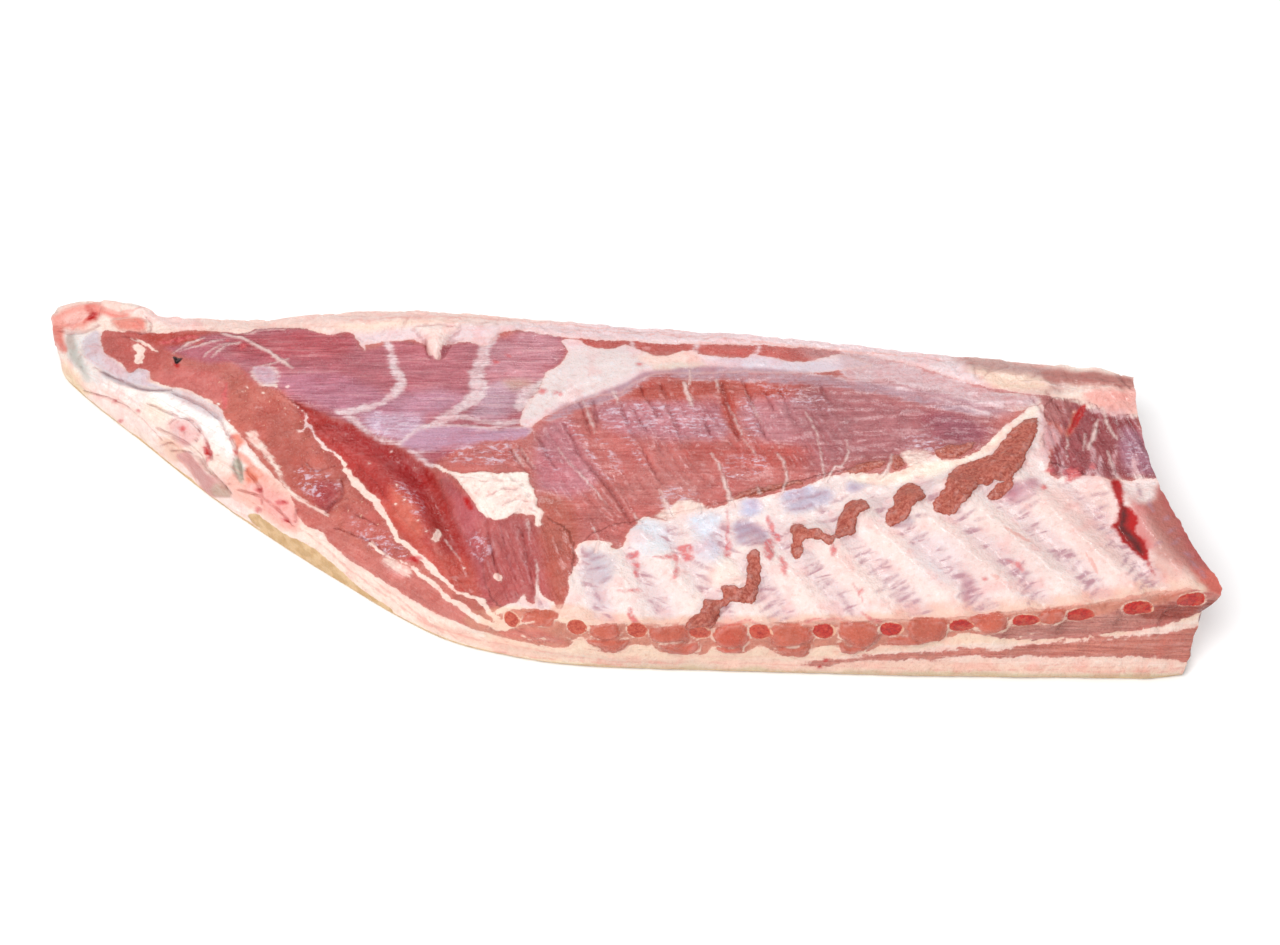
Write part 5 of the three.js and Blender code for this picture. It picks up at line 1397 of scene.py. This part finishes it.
def rib_space(name, rib, line):
    _, width, _, _ = rib
    line = np.array(line)
    face = bone_face_height(line[:, 0], np.maximum(line[:, 1], [loin_face_y(x) for x in line[:, 0]]))
    rings = []
    for i, (x, y) in enumerate(line):
        ahead = line[min(i + 1, len(line) - 1)] - line[max(i - 1, 0)]
        ahead = ahead / np.hypot(*ahead)
        end = i == len(line) - 1
        narrow = RIB_TIP if end else 1
        middle = face[i] + RIB_RISE - RIB_COVER - RIB_HEIGHT / 2 - (RIB_DIP if end else 0)
        angle = 2 * np.pi * np.arange(RIB_SIDES) / RIB_SIDES
        side = width / 2 * narrow * np.cos(angle)
        up = RIB_HEIGHT / 2 * narrow * np.sin(angle)
        rings.append(np.stack([x - ahead[1] * side, y + ahead[0] * side, middle + up], axis=1))
    return lofted(name, rings)


def cut(name, body, steps):
    """A new object: body after boolean steps, each an operation and the object it is done with."""
    for k, (operation, tool) in enumerate(steps):
        cutter = body.modifiers.new(f"cut{k}", "BOOLEAN")
        cutter.operation, cutter.object, cutter.solver = operation, tool, "MANIFOLD"
    shaped = body.evaluated_get(bpy.context.evaluated_depsgraph_get())
    mesh = bpy.data.meshes.new_from_object(shaped)
    body.modifiers.clear()
    mesh.name = name
    piece = bpy.data.objects.new(name, mesh)
    bpy.context.scene.collection.objects.link(piece)
    return piece


VALUES_OF = {"FLOAT": ("value", 1), "FLOAT_COLOR": ("color", 4), "FLOAT_VECTOR": ("vector", 3)}


def values_of(mesh, name):
    """A vertex attribute's values as an array, one row for each vertex."""
    attribute = mesh.attributes[name]
    key, width = VALUES_OF[attribute.data_type]
    values = np.zeros(len(mesh.vertices) * width, np.float32)
    attribute.data.foreach_get(key, values)
    return values.reshape(-1, width)


def fill_in(piece, slab, tree):
    """Gives the vertices that a cut made what the slab's nearest vertices have."""
    mesh = piece.data
    lacking = np.flatnonzero(values_of(mesh, "known")[:, 0] < 0.5)
    nearest = np.array([tree.find(mesh.vertices[int(i)].co)[1] for i in lacking], int)
    for name in PAINTED:
        values = values_of(mesh, name)
        values[lacking] = values_of(slab.data, name)[nearest]
        attribute = mesh.attributes[name]
        attribute.data.foreach_set(VALUES_OF[attribute.data_type][0], values.ravel())
    mesh.attributes.remove(mesh.attributes["known"])


SHARP = math.radians(50)


def finish_piece(piece, node, material):
    mesh = piece.data
    mesh.materials.clear()
    mesh.materials.append(material)
    mesh.polygons.foreach_set("material_index", np.zeros(len(mesh.polygons), np.int32))
    mesh.polygons.foreach_set("use_smooth", np.ones(len(mesh.polygons), bool))
    mesh.set_sharp_from_angle(angle=SHARP)
    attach(piece, "root")
    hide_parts(node)


# ---- Materials ----
# colours laid over others, in sRGB
PALE_FIBRE = (232, 178, 178)
PALE_FLECK = (238, 190, 182)
FAT_SPECK = (240, 200, 172)
# a painted highlight on the folds' crests
FOLD_TOP_HIGHLIGHT = (232, 196, 206)
GLINT = (232, 212, 226)
FAT_LAYER = (236, 176, 164)
PINK_LINE = (232, 156, 144)
SHOWING_STROKE = (180, 132, 144)
SHOWING_HATCH = (186, 136, 146)
FAT_EDGE = (240, 186, 172)
FRINGE = (234, 188, 178)
BARE_HALO = (236, 178, 160)
BARE_FLECK = (230, 164, 146)
THREAD = (238, 208, 202)
BLOOD_HALO = (214, 90, 90)
HOLE_SHADE = (62, 40, 40)
# painted shade inside holes
PORE = (170, 128, 92)
# a painted highlight on the crests of the relief
RELIEF_TOP_HIGHLIGHT = (250, 222, 218)
MARROW_FLECK = (222, 124, 98)

# pairs of colours that patches change between
REDS = ((196, 66, 82), (222, 112, 112))
BARE = ((168, 80, 68), (206, 122, 106))
BLOODS = ((188, 14, 24), (84, 0, 4))
HIDE = ((206, 166, 118), (226, 190, 148))
PALE_MARROW = ((176, 68, 56), (206, 100, 80))
RED_MARROW = ((170, 26, 32), (206, 62, 54))
BONE_SHELL = ((234, 180, 152), (208, 112, 92))

# what darker or lighter places multiply a colour by, for red, green and blue
DARK_FIBRE = (0.74, 0.57, 0.60)
DARK_FLECK = (0.93, 0.86, 0.86)
# painted shade in fine cracks
CRACK_SHADE = (0.62, 0.44, 0.44)
RED_PATCH = (0.96, 0.72, 0.72)
FOLD_SHADE = (0.72, 0.56, 0.58)
FAT_LIGHT = (1.03, 1.10, 1.14)
FAT_SHADE = (0.90, 0.80, 0.78)
FAT_FLECK = (0.92, 0.80, 0.76)
BARE_SHADE = (0.90, 0.86, 0.80)
CREASE_SHADE = (0.58, 0.34, 0.36)
HOLLOW_SHADE = (0.66, 0.46, 0.48)

# bump in metres, and how much light is scattered inside
FLESH_BUMP, FLESH_SCATTER = 0.0012, 0.12
BONE_BUMP, BONE_SCATTER = 0.0006, 0.08
REDDER_FROM, REDDEST_FROM = 20.0, 160.0  # along the slab, in millimetres, for the bones' marrow
SCATTER_RADIUS, SCATTER_SCALE = (1.0, 0.42, 0.32), 0.002
SHINE, MOIST_COAT, COAT_ROUGHNESS = 0.32, 0.07, 0.12
PORES_PER_MM = 0.32


class Nodes:
    """Short ways to make a material's nodes."""

    def __init__(self, name):
        self.material = bpy.data.materials.new(name)
        self.material.use_nodes = True
        self.tree = self.material.node_tree
        self.shader = self.tree.nodes["Principled BSDF"]

    def new(self, kind, **settings):
        node = self.tree.nodes.new("ShaderNode" + kind)
        for key, value in settings.items():
            setattr(node, key, value)
        return node

    def put(self, socket, value):
        if isinstance(value, bpy.types.NodeSocket):
            self.tree.links.new(value, socket)
        else:
            socket.default_value = value

    def math(self, operation, *values):
        node = self.new("Math", operation=operation)
        for socket, value in zip(node.inputs, values):
            self.put(socket, value)
        return node.outputs[0]

    def attribute(self, name, output="Fac"):
        return self.new("Attribute", attribute_name=name).outputs[output]

    def scaled(self, vector, scale):
        node = self.new("VectorMath", operation="MULTIPLY")
        self.put(node.inputs[0], vector)
        node.inputs[1].default_value = scale
        return node.outputs[0]

    def place_in_mm(self):
        return self.scaled(self.new("TexCoord").outputs["Object"], (1 / MM, 1 / MM, 1 / MM))

    def noise(self, vector, scale, detail=2.0, roughness=0.5, distortion=0.0):
        node = self.new("TexNoise")
        self.put(node.inputs["Vector"], vector)
        node.inputs["Scale"].default_value = scale
        node.inputs["Detail"].default_value = detail
        node.inputs["Roughness"].default_value = roughness
        node.inputs["Distortion"].default_value = distortion
        return node.outputs["Fac"]

    def band(self, value, low, high, to_low=0.0, to_high=1.0):
        """From to_low to to_high as value goes from low to high, smoothly."""
        node = self.new("MapRange", interpolation_type="SMOOTHSTEP")
        for socket, number in zip(node.inputs, (value, low, high, to_low, to_high)):
            self.put(socket, number)
        return node.outputs[0]

    def mix(self, share, a, b, blend="MIX"):
        """Colour a with b over it; a colour is a socket or sRGB numbers."""
        node = self.new("Mix", data_type="RGBA", blend_type=blend)
        self.put(node.inputs[0], share)
        for socket, value in zip((node.inputs[6], node.inputs[7]), (a, b)):
            if not isinstance(value, bpy.types.NodeSocket):
                value = (*albedo(value).tolist(), 1.0)
            self.put(socket, value)
        return node.outputs[2]

    def toned(self, share, a, factor):
        """Colour a, multiplied by a factor for each channel where share is 1."""
        node = self.new("Mix", data_type="RGBA", blend_type="MULTIPLY")
        self.put(node.inputs[0], share)
        self.put(node.inputs[6], a)
        node.inputs[7].default_value = (*factor, 1.0)
        return node.outputs[2]

    def times(self, *values):
        return reduce(lambda total, value: self.math("MULTIPLY", total, value), values)

    def plus(self, *values):
        return reduce(lambda total, value: self.math("ADD", total, value), values)

    def less(self, a, b):
        return self.math("SUBTRACT", a, b)

    def finish(self, surface, roughness, height, depth, scatter):
        """Puts colour, roughness and bump on a moist surface."""
        self.put(self.shader.inputs["Base Color"], surface)
        self.put(self.shader.inputs["Roughness"], roughness)
        bump_node = self.new("Bump")
        self.put(bump_node.inputs["Height"], height)
        bump_node.inputs["Distance"].default_value = depth
        self.put(self.shader.inputs["Normal"], bump_node.outputs[0])
        self.shader.inputs["Subsurface Weight"].default_value = scatter
        self.shader.inputs["Subsurface Radius"].default_value = SCATTER_RADIUS
        self.shader.inputs["Subsurface Scale"].default_value = SCATTER_SCALE
        self.shader.inputs["Specular IOR Level"].default_value = SHINE
        self.shader.inputs["Coat Weight"].default_value = MOIST_COAT
        self.shader.inputs["Coat Roughness"].default_value = COAT_ROUGHNESS
        return self.material


class Flesh(Nodes):
    """Meat, fat, lining and rind, by what the vertices keep."""

    def __init__(self, name):
        super().__init__(name)
        self.place = self.place_in_mm()
        self.grain = self.attribute("grain", "Vector")
        self.fibre = self.noise(self.scaled(self.grain, (0.045, 0.62, 0.1)), 1.0, 4, 0.6, 0.5)
        self.streak = self.noise(self.scaled(self.grain, (0.02, 0.26, 0.05)), 1.0, 3, 0.6, 0.6)
        self.mottle = self.noise(self.place, 0.13, 4, 0.6)
        self.cloud = self.noise(self.place, 0.30, 4, 0.6)
        self.fine = self.noise(self.place, 0.75, 3, 0.6)
        self.granular = self.noise(self.place, 0.55, 4, 0.7)
        patches = self.times(self.less(self.noise(self.place, 0.24, 3, 0.6), 0.5), 4.0)
        self.edge = self.plus(patches, self.times(self.less(self.fine, 0.5), 2.0))
        self.comb = self.times(self.less(self.plus(self.fibre, self.streak), 1.0), 8.0)

    def mask(self, name, soft=0.35, ragged=0.5, combed=0.0):
        """1 inside what a distance attribute measures, with a ragged edge, combed out along the grain."""
        value = self.plus(self.attribute(name), self.times(self.edge, ragged), self.times(self.comb, combed))
        return self.band(value, -soft, soft)

    def meat(self):
        """Muscle: its own colour, uneven along its fibres or in patches, with flecks, cracks and folds;
        painted shade in the cracks and the folds' troughs, painted highlights on the folds' crests, and
        painted glints where it has sheen.
        """
        tint = self.attribute("tint", "Color")
        strength = self.attribute("fibre")
        plain = self.plus(self.times(self.mottle, 0.6), self.times(self.cloud, 0.4))
        striped = self.plus(self.times(self.fibre, 0.6), self.times(self.streak, 0.4))
        contrast = self.plus(self.times(strength, 0.7), 0.3)
        rest = self.less(1.0, strength)
        tone = self.plus(self.times(striped, strength), self.times(plain, rest))
        meat = self.toned(self.times(self.band(tone, 0.55, 0.36), contrast), tint, DARK_FIBRE)
        meat = self.mix(self.times(self.band(tone, 0.50, 0.68), contrast, 0.42), meat, PALE_FIBRE)
        meat = self.toned(self.band(self.fine, 0.50, 0.34), meat, DARK_FLECK)
        meat = self.mix(self.times(self.band(self.fine, 0.58, 0.72), 0.16), meat, PALE_FLECK)
        inside = self.mask("speck", 2.0, 0.5)
        scattered = self.band(self.noise(self.place, 0.4, 2, 0.7), 0.68, 0.73)
        meat = self.mix(self.times(inside, scattered, 0.7), meat, FAT_SPECK)
        # fine cracks in the speckled flank, darkened as painted shade
        crack = self.math("ABSOLUTE", self.less(self.noise(self.place, 0.10, 4, 0.55, 0.8), 0.5))
        shallow = self.times(inside, self.band(crack, 0.012, 0.002), self.band(self.cloud, 0.44, 0.56))
        meat = self.toned(shallow, meat, CRACK_SHADE)
        red = self.noise(self.place, 0.055, 3, 0.6)
        meat = self.toned(self.times(self.band(red, 0.52, 0.68), 0.5), meat, RED_PATCH)
        # painted shade in the folds' troughs and a painted highlight on their crests
        fold = self.attribute("fold")
        meat = self.toned(self.times(self.band(fold, -0.1, -0.9), 0.6), meat, FOLD_SHADE)
        crest = self.times(self.band(fold, 0.2, 0.8), self.band(self.cloud, 0.42, 0.6))
        meat = self.mix(self.times(crest, 0.30), meat, FOLD_TOP_HIGHLIGHT)
        # painted glints, in short dashes, where the muscle has sheen
        dash = self.noise(self.scaled(self.place, (0.14, 0.5, 0.5)), 1.0, 3, 0.6, 0.4)
        glints = self.times(self.band(dash, 0.46, 0.62), self.band(self.cloud, 0.40, 0.56))
        sheen = self.times(self.mask("sheen", 2.4, 1.2), glints)
        return self.mix(self.times(sheen, 0.62), meat, GLINT)

    def film(self, under, tint):
        """A thin skin over muscle, closed in places and torn in others."""
        torn = self.plus(self.times(self.streak, 0.6), self.times(self.cloud, 0.6))
        cover = self.band(torn, 0.46, 0.70, 0.3, 0.95)
        veiled = self.mix(self.times(self.mask("film", 3.0, 0.6, 0.3), 0.35), under, tint)
        return self.mix(self.times(self.mask("film", 1.5, 0.6, 0.60), cover), veiled, tint)

    def fat(self, under, tint):
        """Fat, and the lining over the ribs with the muscle that shows through it."""
        layer = self.noise(self.scaled(self.grain, (0.012, 0.42, 0.1)), 1.0, 3, 0.6, 0.3)
        smooth_share = self.attribute("smooth")
        rough_share = self.less(1.0, smooth_share)
        fat = self.mix(self.times(self.band(layer, 0.54, 0.68), rough_share, 0.30), tint, FAT_LAYER)
        fat = self.toned(self.band(self.cloud, 0.52, 0.70), fat, FAT_LIGHT)
        fat = self.toned(self.times(self.band(self.cloud, 0.46, 0.34), 0.6), fat, FAT_SHADE)
        fat = self.toned(self.times(self.band(self.fine, 0.46, 0.34), rough_share, 0.6), fat, FAT_FLECK)
        fat = self.mix(self.times(self.mask("pink", 0.6, 0.8), 0.55), fat, PINK_LINE)
        broken = self.band(self.cloud, 0.38, 0.56, 0.3, 0.85)
        fat = self.mix(self.times(self.mask("stroke", 1.9, 0.5), broken), fat, SHOWING_STROKE)
        hatch = self.noise(self.scaled(self.grain, (0.055, 0.19, 0.1)), 1.0, 2, 0.5, 0.5)
        patchy = self.band(self.mottle, 0.36, 0.56)
        shows = self.times(self.attribute("between"), self.band(hatch, 0.48, 0.66), patchy)
        fat = self.mix(self.times(shows, 0.85), fat, SHOWING_HATCH)
        fat = self.mix(self.times(self.band(self.attribute("pale"), 2.6, 0.0), 0.30), fat, FAT_EDGE)
        fringed = self.mix(self.times(self.mask("pale", 1.7, 0.8, 0.10), 0.40), under, FRINGE)
        return self.mix(self.mask("pale", 0.4, 0.5, 0.05), fringed, fat)

    def marks(self, under):
        """Bare muscle on the lining, threads, creases and blood, with the creases and holes darkened as
        painted shade.
        """
        red = self.mix(self.band(self.cloud, 0.40, 0.58), *REDS)
        share = self.times(self.mask("magenta", 1.4, 0.5), self.band(self.cloud, 0.36, 0.54, 0.35, 0.85))
        surface = self.mix(share, under, red)
        bare = self.mix(self.band(self.granular, 0.36, 0.62), *BARE)
        bare = self.toned(self.band(self.mottle, 0.54, 0.40), bare, BARE_SHADE)
        bare = self.mix(self.times(self.band(self.fine, 0.58, 0.70), 0.25), bare, BARE_FLECK)
        surface = self.mix(self.times(self.mask("bare", 1.8, 0.5), 0.35), surface, BARE_HALO)
        surface = self.mix(self.mask("bare", 0.3, 0.7), surface, bare)
        thread = self.times(self.mask("thread", 1.2, 0.6), self.band(self.mottle, 0.36, 0.52, 0.3, 0.85))
        surface = self.mix(thread, surface, THREAD)
        # painted shade along the creases
        surface = self.toned(self.times(self.mask("crease", 1.5, 0.6), 0.45), surface, CREASE_SHADE)
        blood = self.mix(self.mask("core", 3.4, 0.7), *BLOODS)
        surface = self.mix(self.times(self.mask("blood", 4.0, 0.6), 0.35), surface, BLOOD_HALO)
        surface = self.mix(self.mask("blood", 1.4, 0.8), surface, blood)
        # painted shade inside holes
        return self.mix(self.mask("shaded_opening", 0.6, 0.5), surface, HOLE_SHADE)

    def pores(self):
        pore = self.new("TexVoronoi", feature="F1")
        self.put(pore.inputs["Vector"], self.place)
        pore.inputs["Scale"].default_value = PORES_PER_MM
        return pore.outputs["Distance"]

    def build(self):
        tint = self.attribute("pale_tint", "Color")
        surface = self.marks(self.fat(self.film(self.meat(), tint), tint))
        pore = self.pores()
        hide = self.mix(self.band(self.mottle, 0.40, 0.60), *HIDE)
        hide = self.mix(self.band(pore, 0.0, 0.16, 0.4, 0.0), hide, PORE)
        rind = self.mask("rind", 0.5, 0.3)
        surface = self.mix(rind, surface, hide)
        # painted shade in the relief's hollows, and a painted highlight on its crests
        hollow = self.attribute("hollow")
        surface = self.toned(self.times(self.band(hollow, 0.06, 0.60), 0.5), surface, HOLLOW_SHADE)
        surface = self.mix(self.times(self.band(hollow, -0.10, -0.6), 0.14), surface, RELIEF_TOP_HIGHLIGHT)
        pale = self.mask("pale", 0.5, 0.4)
        wet = self.band(self.mottle, 0.40, 0.60, 0.19, 0.36)
        roughness = self.plus(wet, self.times(pale, 0.10), self.times(self.attribute("smooth"), 0.20))
        meat_share = self.less(1.0, pale)
        height = self.plus(
            self.times(self.cloud, 0.9),
            self.times(self.fibre, self.attribute("fibre"), meat_share, 1.1),
            self.times(self.fine, 0.30),
            self.times(self.granular, self.mask("bare"), 0.8),
            self.times(pale, 0.3),
            self.times(self.mask("thread", 0.6, 0.3), 0.3),
            self.times(self.band(pore, 0.0, 0.25), rind, 0.25))
        return self.finish(surface, roughness, height, FLESH_BUMP, FLESH_SCATTER)


def bone():
    """A sawn rib: spongy marrow, redder towards the shoulder, inside a thin shell."""
    nodes = Nodes("bone")
    place = nodes.place_in_mm()
    x = nodes.new("SeparateXYZ")
    nodes.put(x.inputs[0], place)
    red = nodes.band(x.outputs[0], REDDER_FROM, REDDEST_FROM)
    sponge = nodes.noise(place, 0.55, 4, 0.7)
    blotch = nodes.noise(place, 0.20, 4, 0.6)
    spongy = nodes.band(sponge, 0.40, 0.60)
    marrow = nodes.mix(red, nodes.mix(spongy, *PALE_MARROW), nodes.mix(spongy, *RED_MARROW))
    marrow = nodes.mix(nodes.times(nodes.band(blotch, 0.50, 0.64), 0.4), marrow, MARROW_FLECK)
    ragged = nodes.plus(nodes.times(nodes.less(sponge, 0.5), 2.0), nodes.times(nodes.less(blotch, 0.5), 3.0))
    depth = nodes.plus(nodes.times(nodes.attribute("away"), -1.0), ragged)
    shell = nodes.mix(nodes.band(blotch, 0.42, 0.58), *BONE_SHELL)
    surface = nodes.mix(nodes.band(depth, -0.2, 0.7), shell, marrow)
    return nodes.finish(surface, nodes.band(blotch, 0.4, 0.6, 0.30, 0.45), sponge, BONE_BUMP, BONE_SCATTER)


# ---- Floor and light ----
FLOOR_HALF, FLOOR_COLOUR, FLOOR_ROUGHNESS = 4000, (0.92, 0.92, 0.92, 1), 0.9
# place and size in metres, power in watts
KEY_LIGHT = ((-0.7, -1.35, 2.0), 2.2, 68)
BACK_LIGHT = ((0.35, 1.7, 1.9), 0.5, 24)
SKY_COLOUR, SKY_STRENGTH = (1, 1, 1, 1), 0.46


def make_stage():
    corners = [(FLOOR_HALF * x, FLOOR_HALF * y, 0) for x, y in ((-1, -1), (1, -1), (1, 1), (-1, 1))]
    floor = mesh_object("floor", corners, [(0, 1, 2, 3)])
    nodes = Nodes("floor")
    nodes.shader.inputs["Base Color"].default_value = FLOOR_COLOUR
    nodes.shader.inputs["Roughness"].default_value = FLOOR_ROUGHNESS
    floor.data.materials.append(nodes.material)


def area_light(name, place, size, power):
    """A round light that shines on the slab."""
    data = bpy.data.lights.new(name, "AREA")
    data.shape, data.size, data.energy = "DISK", size, power
    light = bpy.data.objects.new(name, data)
    bpy.context.scene.collection.objects.link(light)
    light.location = place
    light.rotation_euler = (-Vector(place)).to_track_quat("-Z", "Y").to_euler()


def make_light():
    area_light("key", *KEY_LIGHT)
    area_light("back", *BACK_LIGHT)
    world = bpy.data.worlds.new("world")
    world.use_nodes = True
    sky = world.node_tree.nodes["Background"]
    sky.inputs["Color"].default_value = SKY_COLOUR
    sky.inputs["Strength"].default_value = SKY_STRENGTH
    bpy.context.scene.world = world
    bpy.context.scene.view_settings.view_transform = "Standard"


# ---- Putting it together ----
def dress():
    """The fifteen pieces, each cut out of the fine slab by its own space and the others'."""
    slab = make_slab()
    tree = KDTree(len(slab.data.vertices))
    for vertex in slab.data.vertices:
        tree.insert(vertex.co, vertex.index)
    tree.balance()
    space, sheet = lean_space(), outer_lean_space()
    names = [f"rib_{k + 1:02d}" for k in range(len(RIBS))]
    bones = [rib_space(name + "_space", rib, line) for name, rib, line in zip(names, RIBS, RIB_LINES)]
    skin, bone_look = Flesh("flesh").build(), bone()
    pieces = [
        ("fat_and_rind", "fat", skin, [("DIFFERENCE", space), ("DIFFERENCE", sheet)]),
        ("outer_lean", "outer_lean", skin, [("INTERSECT", sheet)]),
        ("lean", "lean", skin, [("INTERSECT", space)] + [("DIFFERENCE", b) for b in bones]),
    ] + [(name, "bone", bone_look, [("INTERSECT", b)]) for name, b in zip(names, bones)]
    for node, slot, material, steps in pieces:
        piece = cut("belly_" + node, slab, steps)
        fill_in(piece, slab, tree)
        finish_piece(piece, node, material)
    for tool in [slab, space, sheet, *bones]:
        bpy.data.objects.remove(tool)


make_camera()
dress()
make_stage()
make_light()
